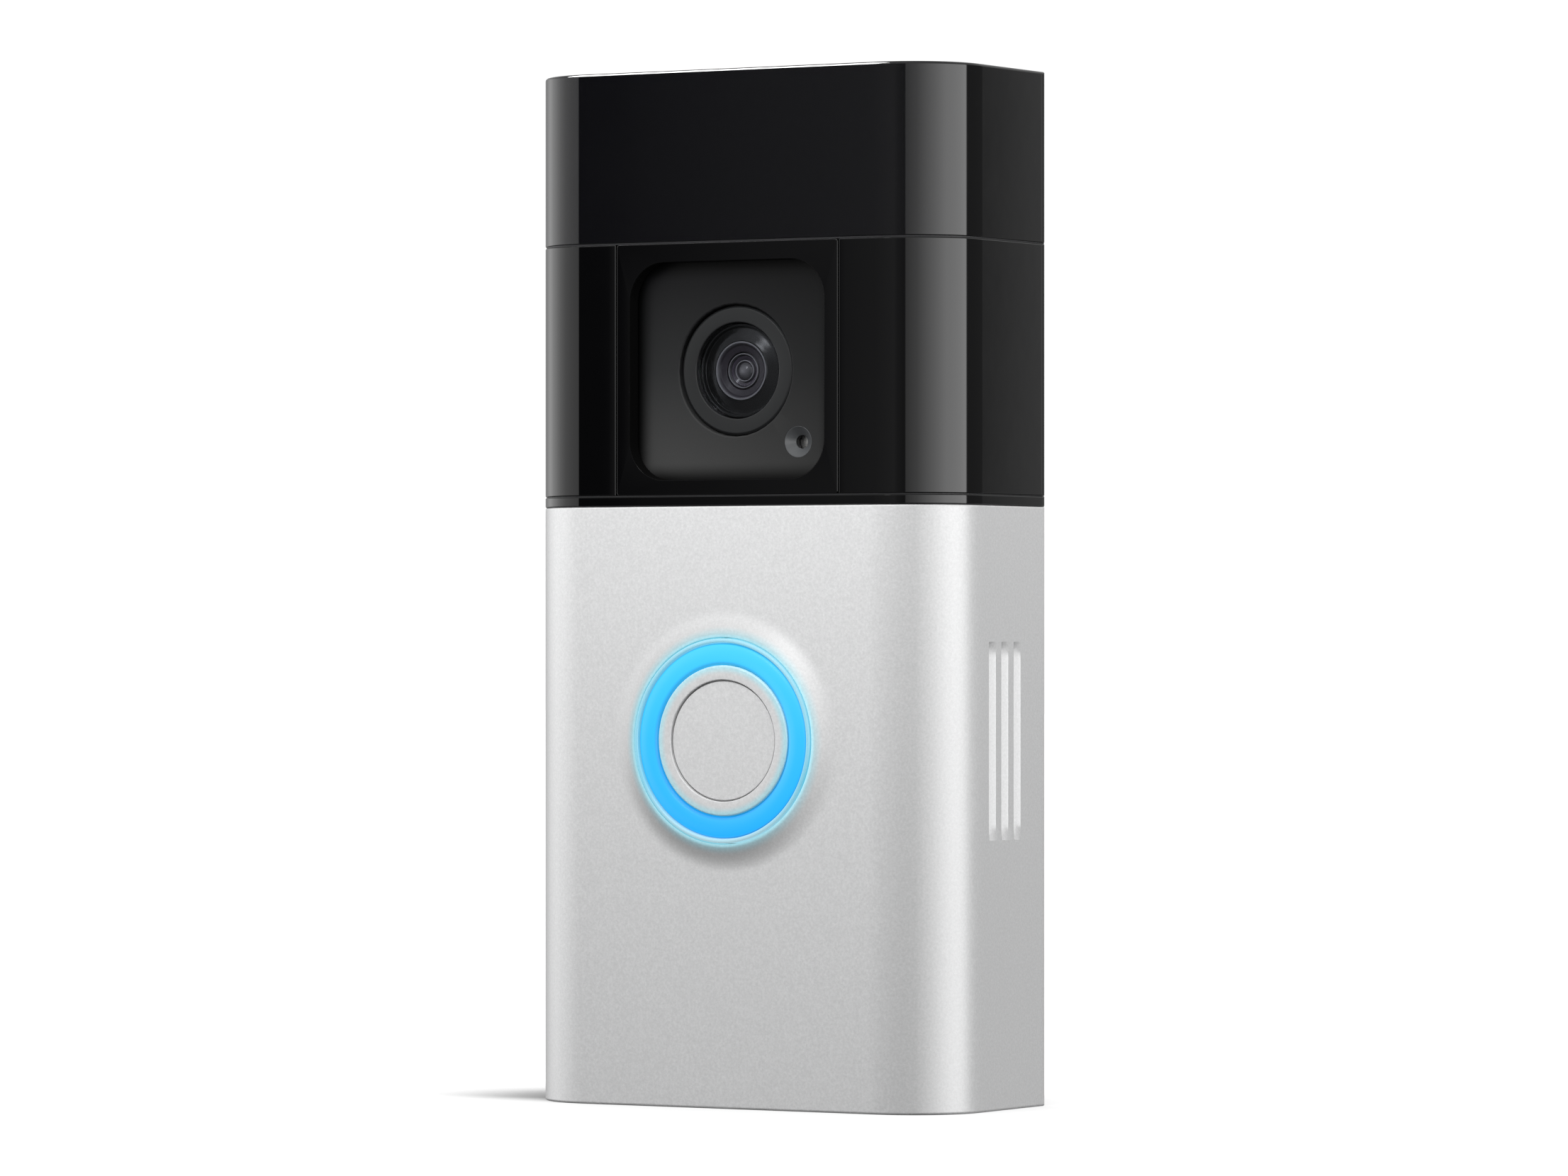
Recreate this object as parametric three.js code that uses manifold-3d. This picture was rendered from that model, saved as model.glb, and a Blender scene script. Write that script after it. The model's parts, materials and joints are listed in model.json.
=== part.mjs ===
// Video doorbell: a removable silver and black faceplate over a sealed camera unit,
// with a lit push button and a battery pack that slides out underneath.
// Millimetres. +Z is up, the front faces -Y, and the origin is the middle of the underside.

import * as THREE from 'three';
import { mergeVertices } from 'three/addons/utils/BufferGeometryUtils.js';
import Module from 'manifold-3d';

const wasm = await Module();
wasm.setup();

// ---- Driving dimensions -------------------------------------------------------------

const HEIGHT = 128;
const WIDTH = 61.2;
const BODY_DEPTH = 26; // front plane to wall plane
const RING_PROUD = 1.2; // light ring in front of the front plane
const CORNER_RADIUS = 9.4; // vertical front corners of the faceplate

const BACK = (BODY_DEPTH + RING_PROUD) / 2;
const FRONT = BACK - BODY_DEPTH;

// Heights of the faceplate's bands
const SILVER_TOP = 74.15;
const TRIM = { low: 74.25, high: 75.4 };
const PANEL = { low: 75.55, high: 106.65 };
const BLACK_CAP_LOW = 106.85;

// Layers, each measured inwards from the faceplate's outer surface
const SKIN = 1.3;
const CARRIER = { outer: 1.4, inner: 2.0 };
const UNIT_INSET = 2.4;
const REAR_STEP = 0.3; // the skins stop this far short of the wall plane

// Features of the front
const BUTTON_Z = 45.3;
const LENS_Z = 90.9;
const TILE = { halfWidth: 15.9, slotHalfWidth: 16.05, thick: 1.1 };
const WINDOW = { width: 28, height: 27, radius: 4.9, plate: 30, plateRadius: 3, thick: 1.1, depth: 2.2 };

// The sealed unit
const UNIT = {
  halfWidth: WIDTH / 2 - UNIT_INSET,
  front: FRONT + UNIT_INSET,
  low: 0.5,
  coverLow: 2.4,
  high: HEIGHT - UNIT_INSET - 0.1,
  wall: 1.8,
  frontWall: 1.6,
  coverRear: -2.4,
  housingFront: -1.8,
};

const CORNER_STEPS = 5;
const RING_SIDES = 36;
const ROUND_SIDES = 16;
const HOLE_SIDES = 10;
const SMALL_SIDES = 12;
const TINY_SIDES = 8;
const CUT = 1; // how far a cutting body runs past what it cuts
const FIT = 0.1; // gap between parts that rest on each other
const SLIVER = 0.01; // keeps a cutting body's end off the face that it opens

// ---- Solids: three.js geometry in, joined and cut with manifold-3d --------------------

function signedVolume(position, index) {
  const a = new THREE.Vector3();
  const b = new THREE.Vector3();
  const c = new THREE.Vector3();
  let total = 0;
  for (let i = 0; i < index.count; i += 3) {
    a.fromBufferAttribute(position, index.getX(i));
    b.fromBufferAttribute(position, index.getX(i + 1));
    c.fromBufferAttribute(position, index.getX(i + 2));
    total += a.dot(b.cross(c));
  }
  return total;
}

function solid(geometry) {
  const bare = geometry.clone();
  bare.deleteAttribute('normal');
  bare.deleteAttribute('uv');
  const merged = mergeVertices(bare, 1e-4);
  const vertProperties = new Float32Array(merged.attributes.position.array);
  const corners = Array.from(merged.index.array);
  const flip = signedVolume(merged.attributes.position, merged.index) < 0;
  const triVerts = [];
  for (let i = 0; i < corners.length; i += 3) {
    const [a, b, c] = corners.slice(i, i + 3);
    if (a !== b && b !== c && c !== a) {
      triVerts.push(...(flip ? [a, c, b] : [a, b, c]));
    }
  }
  const mesh = new wasm.Mesh({ numProp: 3, vertProperties, triVerts: new Uint32Array(triVerts) });
  return new wasm.Manifold(mesh);
}

function join(first, ...others) {
  return others.reduce((whole, piece) => whole.add(piece), first);
}

function cut(first, ...others) {
  return others.reduce((whole, piece) => whole.subtract(piece), first);
}

function geometryOf(body) {
  const mesh = body.getMesh();
  const geometry = new THREE.BufferGeometry();
  geometry.setAttribute('position', new THREE.BufferAttribute(mesh.vertProperties, mesh.numProp));
  geometry.setIndex(new THREE.BufferAttribute(mesh.triVerts, 1));
  geometry.computeVertexNormals();
  return geometry;
}

// A box from its low and high corners
function block([x0, y0, z0], [x1, y1, z1]) {
  const geometry = new THREE.BoxGeometry(x1 - x0, y1 - y0, z1 - z0);
  geometry.translate((x0 + x1) / 2, (y0 + y1) / 2, (z0 + z1) / 2);
  return solid(geometry);
}

// A box that is symmetric about X = 0
function midBlock(halfWidth, [y0, z0], [y1, z1]) {
  return block([-halfWidth, y0, z0], [halfWidth, y1, z1]);
}

// A plan outline (X, Y) raised from one height to another
function raised(shape, low, high) {
  const options = { depth: high - low, bevelEnabled: false, curveSegments: CORNER_STEPS };
  const geometry = new THREE.ExtrudeGeometry(shape, options);
  geometry.translate(0, 0, low);
  return solid(geometry);
}

// A front outline (X, Z) carried from one depth to another
function carried(shape, y0, y1) {
  const options = { depth: y1 - y0, bevelEnabled: false, curveSegments: CORNER_STEPS };
  const geometry = new THREE.ExtrudeGeometry(shape, options);
  geometry.rotateX(Math.PI / 2);
  geometry.translate(0, y1, 0);
  return solid(geometry);
}

// A profile of [radius, Y] points turned about an axis that runs front to back
function turned(profile, x, z, sides = ROUND_SIDES) {
  const points = profile.map(([r, y]) => new THREE.Vector2(r, y));
  const geometry = new THREE.LatheGeometry(points, sides);
  geometry.translate(x, 0, z);
  return solid(geometry);
}

function disc(radius, y0, y1, x, z, sides = ROUND_SIDES) {
  return turned([[0, y0], [radius, y0], [radius, y1], [0, y1]], x, z, sides);
}

function washer(inner, outer, y0, y1, x, z, sides = ROUND_SIDES) {
  return turned([[inner, y0], [outer, y0], [outer, y1], [inner, y1], [inner, y0]], x, z, sides);
}

// A cylinder that stands along Z
function upright(radius, low, high, x, y, sides = ROUND_SIDES) {
  const geometry = new THREE.CylinderGeometry(radius, radius, high - low, sides);
  geometry.rotateX(Math.PI / 2);
  geometry.translate(x, y, (low + high) / 2);
  return solid(geometry);
}

function roundedRectangle(halfWidth, halfHeight, radius, x = 0, y = 0) {
  const shape = new THREE.Shape();
  const right = x + halfWidth - radius;
  const left = x - halfWidth + radius;
  const top = y + halfHeight - radius;
  const bottom = y - halfHeight + radius;
  shape.absarc(right, top, radius, 0, Math.PI / 2, false);
  shape.absarc(left, top, radius, Math.PI / 2, Math.PI, false);
  shape.absarc(left, bottom, radius, Math.PI, 1.5 * Math.PI, false);
  shape.absarc(right, bottom, radius, 1.5 * Math.PI, 2 * Math.PI, false);
  return shape;
}

// ---- Plan outlines of the faceplate and the unit --------------------------------------

function insetSection(inset) {
  const radius = CORNER_RADIUS - inset;
  return {
    radius,
    side: WIDTH / 2 - inset,
    flat: WIDTH / 2 - CORNER_RADIUS,
    front: FRONT + inset,
    centre: FRONT + CORNER_RADIUS,
  };
}

// A wall that runs down one side, round the front corners and up the other side
function wallOutline(outerInset, innerInset, rear) {
  const outer = insetSection(outerInset);
  const inner = insetSection(innerInset);
  const quarter = Math.PI / 2;
  const shape = new THREE.Shape();
  shape.moveTo(outer.side, rear);
  shape.lineTo(outer.side, outer.centre);
  shape.absarc(outer.flat, outer.centre, outer.radius, 0, -quarter, true);
  shape.absarc(-outer.flat, outer.centre, outer.radius, -quarter, -2 * quarter, true);
  shape.lineTo(-outer.side, rear);
  shape.lineTo(-inner.side, rear);
  shape.lineTo(-inner.side, inner.centre);
  shape.absarc(-inner.flat, inner.centre, inner.radius, -2 * quarter, -quarter, false);
  shape.absarc(inner.flat, inner.centre, inner.radius, -quarter, 0, false);
  shape.lineTo(inner.side, rear);
  return shape;
}

// The filled outline inside a given inset, up to a rear plane
function filledOutline(inset, rear) {
  const section = insetSection(inset);
  const quarter = Math.PI / 2;
  const shape = new THREE.Shape();
  shape.moveTo(section.side, rear);
  shape.lineTo(section.side, section.centre);
  shape.absarc(section.flat, section.centre, section.radius, 0, -quarter, true);
  shape.absarc(-section.flat, section.centre, section.radius, -quarter, -2 * quarter, true);
  shape.lineTo(-section.side, rear);
  return shape;
}

const SKIN_REAR = BACK - REAR_STEP;

function skin(low, high) {
  return raised(wallOutline(0, SKIN, SKIN_REAR), low, high);
}

// A rounded rectangle about the lens, from one depth to another
function windowCut(y0, y1, width, height, radius) {
  return carried(roundedRectangle(width / 2, height / 2, radius, 0, LENS_Z), y0, y1);
}

// ---- Screw places shared by the front cover and the rear housing ---------------------

const SIDES = [['left', -1], ['right', 1]];
const WALL_HOLE = { x: 23.4, low: 12, high: 116, radius: 2.0, head: 3.8, post: 3.1 };
const CASE_SCREW = {
  x: 24.4, low: 25, high: 104, thread: 1.0, tip: 8.6, head: 1.9, headThick: 1.0,
  boss: 2.2, pilot: 1.2, pilotEnd: 10.6,
};

function places({ x, low, high }) {
  return [[-x, low], [x, low], [-x, high], [x, high]];
}

// ---- Faceplate ------------------------------------------------------------------------

const SKIRT = { base: 15.3, top: 13.0, hole: 12.75, height: 0.95 };
const GROOVE = { first: 11.5, width: 1.75, pitch: 3.1, count: 3, depth: 0.8, half: 12.2 };
const LIP = { thick: 2.0, rear: -2.2 };
const SOUND_SLOT = { count: 2, pitch: 8, start: 8, halfWidth: 2.5, low: -8.4, high: -7.2 };
const SCREW = { y: -7.4, hole: 1.7, recess: 2.9, recessDepth: 1.2 };

function lipPlate() {
  const plate = raised(filledOutline(SKIN / 2, LIP.rear), 0, LIP.thick);
  const outlets = SIDES.flatMap(([, side]) => Array.from({ length: SOUND_SLOT.count }, (_, i) => {
    const x = side * (SOUND_SLOT.start + i * SOUND_SLOT.pitch);
    const low = [x - SOUND_SLOT.halfWidth, SOUND_SLOT.low, -CUT];
    return block(low, [x + SOUND_SLOT.halfWidth, SOUND_SLOT.high, LIP.thick + CUT]);
  }));
  const hole = upright(SCREW.hole, -CUT, LIP.thick + CUT, 0, SCREW.y);
  const recess = upright(SCREW.recess, -CUT, SCREW.recessDepth, 0, SCREW.y);
  return cut(plate, hole, recess, ...outlets);
}

function skirtCone() {
  const inside = FRONT + SKIN / 2;
  const proud = FRONT - SKIRT.height;
  const profile = [[0, inside], [SKIRT.base, inside], [SKIRT.base, FRONT], [SKIRT.top, proud], [0, proud]];
  return turned(profile, 0, BUTTON_Z, RING_SIDES);
}

// A groove with its deep edge at the front, ramping out to the surface at its rear edge
function sideGroove(side, index) {
  const start = FRONT + GROOVE.first + index * GROOVE.pitch;
  const wall = side * WIDTH / 2;
  const shape = new THREE.Shape();
  shape.moveTo(wall + side * CUT, start);
  shape.lineTo(wall - side * GROOVE.depth, start);
  shape.lineTo(wall, start + GROOVE.width);
  shape.lineTo(wall + side * CUT, start + GROOVE.width);
  return raised(shape, BUTTON_Z - GROOVE.half, BUTTON_Z + GROOVE.half);
}

function faceplateShell() {
  const wall = skin(0, SILVER_TOP);
  const hole = disc(SKIRT.hole, FRONT - 2 * CUT, FRONT + SKIN + CUT, 0, BUTTON_Z, RING_SIDES);
  const indices = Array.from({ length: GROOVE.count }, (_, i) => i);
  const grooves = SIDES.flatMap(([, side]) => indices.map((index) => sideGroove(side, index)));
  return cut(join(wall, lipPlate(), skirtCone()), hole, ...grooves);
}

function faceplateTrim() {
  return skin(TRIM.low, TRIM.high);
}

function sidePanel(side) {
  const whole = skin(PANEL.low, PANEL.high);
  const inner = side * TILE.slotHalfWidth;
  const away = -side * WIDTH;
  const low = [Math.min(inner, away), FRONT - CUT, PANEL.low - CUT];
  const high = [Math.max(inner, away), BACK + CUT, PANEL.high + CUT];
  return cut(whole, block(low, high));
}

// The tile, with a collar round its hole that reaches back to the camera window
function cameraTile() {
  const plate = midBlock(TILE.halfWidth, [FRONT, PANEL.low], [FRONT + TILE.thick, PANEL.high]);
  const back = WINDOW_FRONT - WINDOW_GAP;
  const collar = windowCut(FRONT, back, WINDOW.plate, WINDOW.plate, WINDOW.plateRadius);
  const hole = windowCut(FRONT - CUT, back + CUT, WINDOW.width, WINDOW.height, WINDOW.radius);
  return cut(join(plate, collar), hole);
}

function topCover() {
  const wall = skin(BLACK_CAP_LOW, HEIGHT);
  const lid = raised(filledOutline(SKIN / 2, SKIN_REAR), HEIGHT - SKIN, HEIGHT);
  return join(wall, lid);
}

const CARRIER_SPAN = { low: 2.2, high: HEIGHT - SKIN - 0.3, buttonHole: 14.2 };
const WINDOW_GAP = 0.3;

// The liner that the skins and the tile are bonded to
function faceplateCarrier() {
  const rear = SKIN_REAR - CUT;
  const wall = raised(wallOutline(CARRIER.outer, CARRIER.inner, rear), CARRIER_SPAN.low, CARRIER_SPAN.high);
  const y0 = FRONT;
  const y1 = UNIT.front;
  const button = disc(CARRIER_SPAN.buttonHole, y0, y1, 0, BUTTON_Z, RING_SIDES);
  const size = WINDOW.plate + 2 * WINDOW_GAP;
  const opening = windowCut(y0, y1, size, size, WINDOW.plateRadius);
  return cut(wall, button, opening);
}

const SECURITY = { head: 2.6, headLow: 0.2, headHigh: 1.1, thread: 1.4, tip: 8.2, drive: 0.9, flats: 6 };

function securityScrew() {
  const head = upright(SECURITY.head, SECURITY.headLow, SECURITY.headHigh, 0, SCREW.y);
  const thread = upright(SECURITY.thread, SECURITY.headLow, SECURITY.tip, 0, SCREW.y);
  const middle = (SECURITY.headLow + SECURITY.headHigh) / 2;
  const drive = upright(SECURITY.drive, -CUT, middle, 0, SCREW.y, SECURITY.flats);
  return cut(join(head, thread), drive);
}

// ---- Sealed unit: front cover, rear housing, seal and screws --------------------------

const CAMERA_HOLE = 6.6;
const MOTION = { x: 20.5, z: 84, radius: 3.8, hole: 4.1, front: -9.7, rear: -4 };
const PORT = { x: 9.0, drop: 8.9, cone: 2.0, hole: 0.92, coneDepth: 0.9 };
const IR_LED = { ring: 11.2, radius: 1.5, hole: 1.8, angles: [35, 145, 215] };
const SPEAKER = {
  z: 19.5, radius: 9.0, front: -7.6, rear: -3.2,
  magnet: 5.5, cone: 2.6, coneDepth: 1.4, coneEdge: 7.2,
  rim: 0.9, basket: 7.0, basketDepth: 2.4, grille: 5, hole: 0.9,
};
const SETUP = {
  x: 17.5, z: 64, radius: 2.2, proud: 0.2, hole: 2.5, flange: 3.1, flangeThick: 0.7, stem: 1.4, tip: -5.8,
};
const LATCH = { x: 15, halfWidth: 3.5, low: 5.5, high: 10.5, travel: 2.0, flange: 1.2, grip: 0.8 };
const HOUSING_HOLE = 14.1;
const SCREW_NOTCH = { halfWidth: 2.3, top: 9.4 };
const SLOT_GAP = { side: 0.3, end: 0.4 };
const COUNTERBORE = 1.0;
const POCKET_GAP = 0.2;

const WINDOW_FRONT = FRONT + WINDOW.depth;
const WINDOW_REAR = WINDOW_FRONT + WINDOW.thick;
const COVER_INNER = UNIT.front + UNIT.frontWall;

function irPlaces() {
  return IR_LED.angles.map((angle) => {
    const turn = THREE.MathUtils.degToRad(angle);
    return [IR_LED.ring * Math.cos(turn), LENS_Z + IR_LED.ring * Math.sin(turn)];
  });
}

function grillePlaces() {
  const ring = Array.from({ length: 6 }, (_, i) => (i * Math.PI) / 3);
  const around = ring.map((turn) => [
    SPEAKER.grille * Math.cos(turn),
    SPEAKER.z + SPEAKER.grille * Math.sin(turn),
  ]);
  return [[0, SPEAKER.z], ...around];
}

function through(radius, [x, z], sides = HOLE_SIDES) {
  return disc(radius, UNIT.front - CUT, COVER_INNER + CUT, x, z, sides);
}

function frontCover() {
  const whole = raised(filledOutline(UNIT_INSET, UNIT.coverRear), UNIT.coverLow, UNIT.high);
  const { side } = insetSection(UNIT_INSET + UNIT.wall);
  const hollow = block(
    [-side, COVER_INNER, UNIT.coverLow + UNIT.wall],
    [side, UNIT.coverRear + CUT, UNIT.high - UNIT.wall],
  );
  const size = WINDOW.plate + 2 * POCKET_GAP;
  const pocket = windowCut(UNIT.front - CUT, WINDOW_REAR + POCKET_GAP, size, size, WINDOW.plateRadius);
  const notch = midBlock(
    SCREW_NOTCH.halfWidth,
    [UNIT.front - CUT, UNIT.coverLow - CUT],
    [SCREW.y + SCREW_NOTCH.halfWidth, SCREW_NOTCH.top],
  );
  const reach = LATCH.halfWidth + SLOT_GAP.side;
  const slot = block(
    [LATCH.x - reach, UNIT.front - CUT, LATCH.low - SLOT_GAP.end],
    [LATCH.x + reach, COVER_INNER + CUT, LATCH.high + LATCH.travel + SLOT_GAP.end],
  );
  const counterbores = places(WALL_HOLE).map(([x, z]) => (
    disc(WALL_HOLE.head, UNIT.front - CUT, UNIT.front + COUNTERBORE, x, z, SMALL_SIDES)
  ));
  const bores = [
    ...places(WALL_HOLE).map((place) => through(WALL_HOLE.radius, place)),
    ...places(CASE_SCREW).map((place) => through(CASE_SCREW.pilot, place)),
    ...irPlaces().map((place) => through(IR_LED.hole, place)),
    ...grillePlaces().map((place) => through(SPEAKER.hole, place, TINY_SIDES)),
    ...SIDES.map(([, direction]) => through(MOTION.hole, [direction * MOTION.x, MOTION.z], ROUND_SIDES)),
    through(PORT.hole, [PORT.x, LENS_Z - PORT.drop]),
    through(CAMERA_HOLE, [0, LENS_Z], RING_SIDES),
    through(HOUSING_HOLE, [0, BUTTON_Z], RING_SIDES),
    through(SETUP.hole, [SETUP.x, SETUP.z]),
  ];
  return cut(whole, hollow, pocket, notch, slot, ...counterbores, ...bores);
}

const BAY = { halfWidth: 20.0, wall: 0.8, front: -1.6, rear: 11.2, low: 3.0, high: 68.0, mouthGap: 0.4 };
const POCKET = { halfWidth: 14, low: 88, high: 100, depth: 3.2, wall: 1.6 };
const POCKET_FLOOR = BACK - POCKET.depth;
const REAR_WALL = 2.1;
const FLOOR_EXTRA = 0.6; // the floor under the hollow is this much thicker than its walls
const POST_GAP = 0.3; // posts stop this far behind the housing's front edge
const TERMINAL = {
  x: 7, z: 94, hole: 1.7, bore: 2.0, plateHalf: 4, plateThick: 0.7,
  head: 2.9, headThick: 1.5, thread: 1.4, tip: 7.2, slotDepth: 0.7, slotHalf: 0.4,
};

function rearHousing() {
  const side = UNIT.halfWidth;
  const innerSide = side - UNIT.wall;
  const shell = block([-side, UNIT.housingFront, UNIT.low], [side, BACK, UNIT.high]);
  const hollow = block(
    [-innerSide, UNIT.housingFront - CUT, UNIT.low + UNIT.wall + FLOOR_EXTRA],
    [innerSide, BACK - REAR_WALL, UNIT.high - UNIT.wall],
  );
  const mouth = midBlock(
    BAY.halfWidth + BAY.mouthGap,
    [UNIT.housingFront - CUT, -CUT],
    [BAY.rear + BAY.mouthGap / 2, UNIT.low + 2 * UNIT.wall],
  );
  const postFront = UNIT.housingFront + POST_GAP;
  const postRear = BACK - REAR_WALL / 2;
  const posts = places(WALL_HOLE).map(([x, z]) => disc(WALL_HOLE.post, postFront, postRear, x, z));
  const bosses = places(CASE_SCREW).map(([x, z]) => disc(CASE_SCREW.boss, postFront, postRear, x, z));
  const pad = midBlock(
    POCKET.halfWidth + POCKET.wall,
    [POCKET_FLOOR - POCKET.wall, POCKET.low - POCKET.wall],
    [postRear, POCKET.high + POCKET.wall],
  );
  const pocket = midBlock(POCKET.halfWidth, [POCKET_FLOOR, POCKET.low], [BACK + CUT, POCKET.high]);
  const front = UNIT.housingFront - CUT;
  const bores = [
    ...places(WALL_HOLE).map(([x, z]) => disc(WALL_HOLE.radius, front, BACK + CUT, x, z, HOLE_SIDES)),
    ...places(CASE_SCREW).map(([x, z]) => (
      disc(CASE_SCREW.pilot, front, CASE_SCREW.pilotEnd, x, z, TINY_SIDES)
    )),
    ...SIDES.map(([, s]) => disc(TERMINAL.hole, TERMINAL.bore, BACK, s * TERMINAL.x, TERMINAL.z)),
  ];
  const walls = join(cut(shell, hollow, mouth), ...posts, ...bosses, pad);
  return cut(walls, pocket, ...bores);
}

const SEAL = { inset: 0.2, width: 1.2, front: -2.3, rear: -1.9, outerRadius: 1.5, innerRadius: 0.6 };

function caseSeal() {
  const { inset, width, front, rear, outerRadius, innerRadius } = SEAL;
  const half = UNIT.halfWidth - inset;
  const middle = (UNIT.coverLow + UNIT.high) / 2;
  const tall = (UNIT.high - UNIT.coverLow) / 2 - inset;
  const whole = carried(roundedRectangle(half, tall, outerRadius, 0, middle), front, rear);
  const inside = roundedRectangle(half - width, tall - width, innerRadius, 0, middle);
  return cut(whole, carried(inside, front - CUT, rear + CUT));
}

// A screw with its head to the front
function caseScrew([x, z]) {
  const { head, headThick, thread, tip } = CASE_SCREW;
  const top = COVER_INNER + FIT;
  const shoulder = top + headThick;
  const profile = [[0, top], [head, top], [head, shoulder], [thread, shoulder], [thread, tip], [0, tip]];
  return turned(profile, x, z, SMALL_SIDES);
}

// ---- Camera ---------------------------------------------------------------------------

const LENS_RING = { inner: 5.95, outer: 8.0, front: -9.75, rear: -9.0, hole: 8.15 };
const GLASS = { radius: 5.8, edge: -9.5, apex: -9.7, rear: -9.0 };
const BARREL = { outer: 5.8, front: -8.85, rear: -4.8, mouth: 5.4, baffle: 3.6, bore: 2.1 };
const BAFFLE_DEPTHS = [-8.35, -8.05];
const ELEMENT = { gap: 0.15, edgeDrop: 0.35, rear: -6.6 };
const HOLDER = { half: 7, front: -6.9, gap: 0.15 };
const IMAGE_SENSOR = { halfWidth: 3.7, halfHeight: 3, front: -3.1 };
const DOME = { gap: 0.25, shoulder: 0.7, shoulderDrop: 0.4, edgeDrop: 1.2 };
const MICROPHONE = { radius: 2.0, front: -8.2, rear: -6.0 };
const CAMERA_BOARD = { halfWidth: 14, low: 77, high: 104.5, front: -2.2, rear: -1.2 };

function cameraWindow() {
  const plate = windowCut(WINDOW_FRONT, WINDOW_REAR, WINDOW.plate, WINDOW.plate, WINDOW.plateRadius);
  const lensHole = disc(LENS_RING.hole, WINDOW_FRONT - CUT, WINDOW_REAR + CUT, 0, LENS_Z, RING_SIDES);
  const deep = WINDOW_FRONT + PORT.coneDepth;
  const mouth = WINDOW_FRONT - SLIVER;
  const end = WINDOW_REAR + CUT;
  const cone = [[0, mouth], [PORT.cone, mouth], [PORT.hole, deep], [PORT.hole, end], [0, end]];
  return cut(plate, lensHole, turned(cone, PORT.x, LENS_Z - PORT.drop));
}

function lensRing() {
  const { inner, outer, front, rear } = LENS_RING;
  return washer(inner, outer, front, rear, 0, LENS_Z, RING_SIDES);
}

// The cover lens, domed towards the front
function lensGlass() {
  const steps = [0, 0.5, 0.8, 1];
  const dome = steps.map((t) => [GLASS.radius * t, GLASS.apex + (GLASS.edge - GLASS.apex) * t * t]);
  return turned([...dome, [GLASS.radius, GLASS.rear], [0, GLASS.rear]], 0, LENS_Z, RING_SIDES);
}

function lensBarrel() {
  const [shelf, throat] = BAFFLE_DEPTHS;
  const profile = [
    [BARREL.outer, BARREL.front], [BARREL.outer, BARREL.rear], [BARREL.bore, BARREL.rear],
    [BARREL.bore, throat], [BARREL.baffle, throat], [BARREL.baffle, shelf],
    [BARREL.mouth, BARREL.front], [BARREL.outer, BARREL.front],
  ];
  return turned(profile, 0, LENS_Z, RING_SIDES);
}

function lensElement() {
  const radius = BARREL.bore - ELEMENT.gap;
  const [, throat] = BAFFLE_DEPTHS;
  const profile = [
    [0, throat - FIT], [radius / 2, throat], [radius, throat + ELEMENT.edgeDrop],
    [radius, ELEMENT.rear], [0, ELEMENT.rear],
  ];
  return turned(profile, 0, LENS_Z);
}

function lensHolder() {
  const { half, front, gap } = HOLDER;
  const rear = CAMERA_BOARD.front - FIT;
  const body = block([-half, front, LENS_Z - half], [half, rear, LENS_Z + half]);
  return cut(body, disc(BARREL.outer + gap, front - CUT, rear + CUT, 0, LENS_Z, RING_SIDES));
}

function imageSensor() {
  const { halfWidth, halfHeight, front } = IMAGE_SENSOR;
  return block(
    [-halfWidth, front, LENS_Z - halfHeight],
    [halfWidth, CAMERA_BOARD.front - FIT, LENS_Z + halfHeight],
  );
}

function cameraBoard() {
  const { halfWidth, low, high, front, rear } = CAMERA_BOARD;
  return midBlock(halfWidth, [front, low], [rear, high]);
}

function domedPart([x, z], radius) {
  const tip = WINDOW_REAR + DOME.gap;
  const rear = CAMERA_BOARD.front - FIT;
  const profile = [
    [0, tip], [DOME.shoulder * radius, tip + DOME.shoulderDrop], [radius, tip + DOME.edgeDrop],
    [radius, rear], [0, rear],
  ];
  return turned(profile, x, z, SMALL_SIDES);
}

function microphone() {
  return disc(MICROPHONE.radius, MICROPHONE.front, MICROPHONE.rear, PORT.x, LENS_Z - PORT.drop);
}

function motionSensor(side) {
  return disc(MOTION.radius, MOTION.front, MOTION.rear, side * MOTION.x, MOTION.z);
}

// ---- Electronics ----------------------------------------------------------------------

const MAIN_BOARD = { halfWidth: 20, low: 71.5, high: 122, front: 1.5, rear: 3.1 };
const WIRELESS = { left: 1, right: 17, low: 107, high: 120, front: -1.4 };
const ANTENNA = { halfWidth: 15, low: 112, high: 118, gap: 0.2, thick: 0.4 };

function mainBoard() {
  const { halfWidth, low, high, front, rear } = MAIN_BOARD;
  return midBlock(halfWidth, [front, low], [rear, high]);
}

function wirelessModule() {
  const { left, right, low, high, front } = WIRELESS;
  return block([left, front, low], [right, MAIN_BOARD.front - FIT, high]);
}

function antenna() {
  const { halfWidth, low, high, gap, thick } = ANTENNA;
  const front = COVER_INNER + gap;
  return midBlock(halfWidth, [front, low], [front + thick, high]);
}

function speakerDriver() {
  const { radius, front, rear, magnet, cone, coneDepth, coneEdge, rim, basket, basketDepth } = SPEAKER;
  const profile = [
    [0, front + coneDepth], [cone, front + coneDepth], [coneEdge, front], [radius, front],
    [radius, front + rim], [basket, front + basketDepth], [magnet, front + basketDepth],
    [magnet, rear], [0, rear],
  ];
  return turned(profile, 0, SPEAKER.z);
}

// ---- Button and light ring ------------------------------------------------------------

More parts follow.
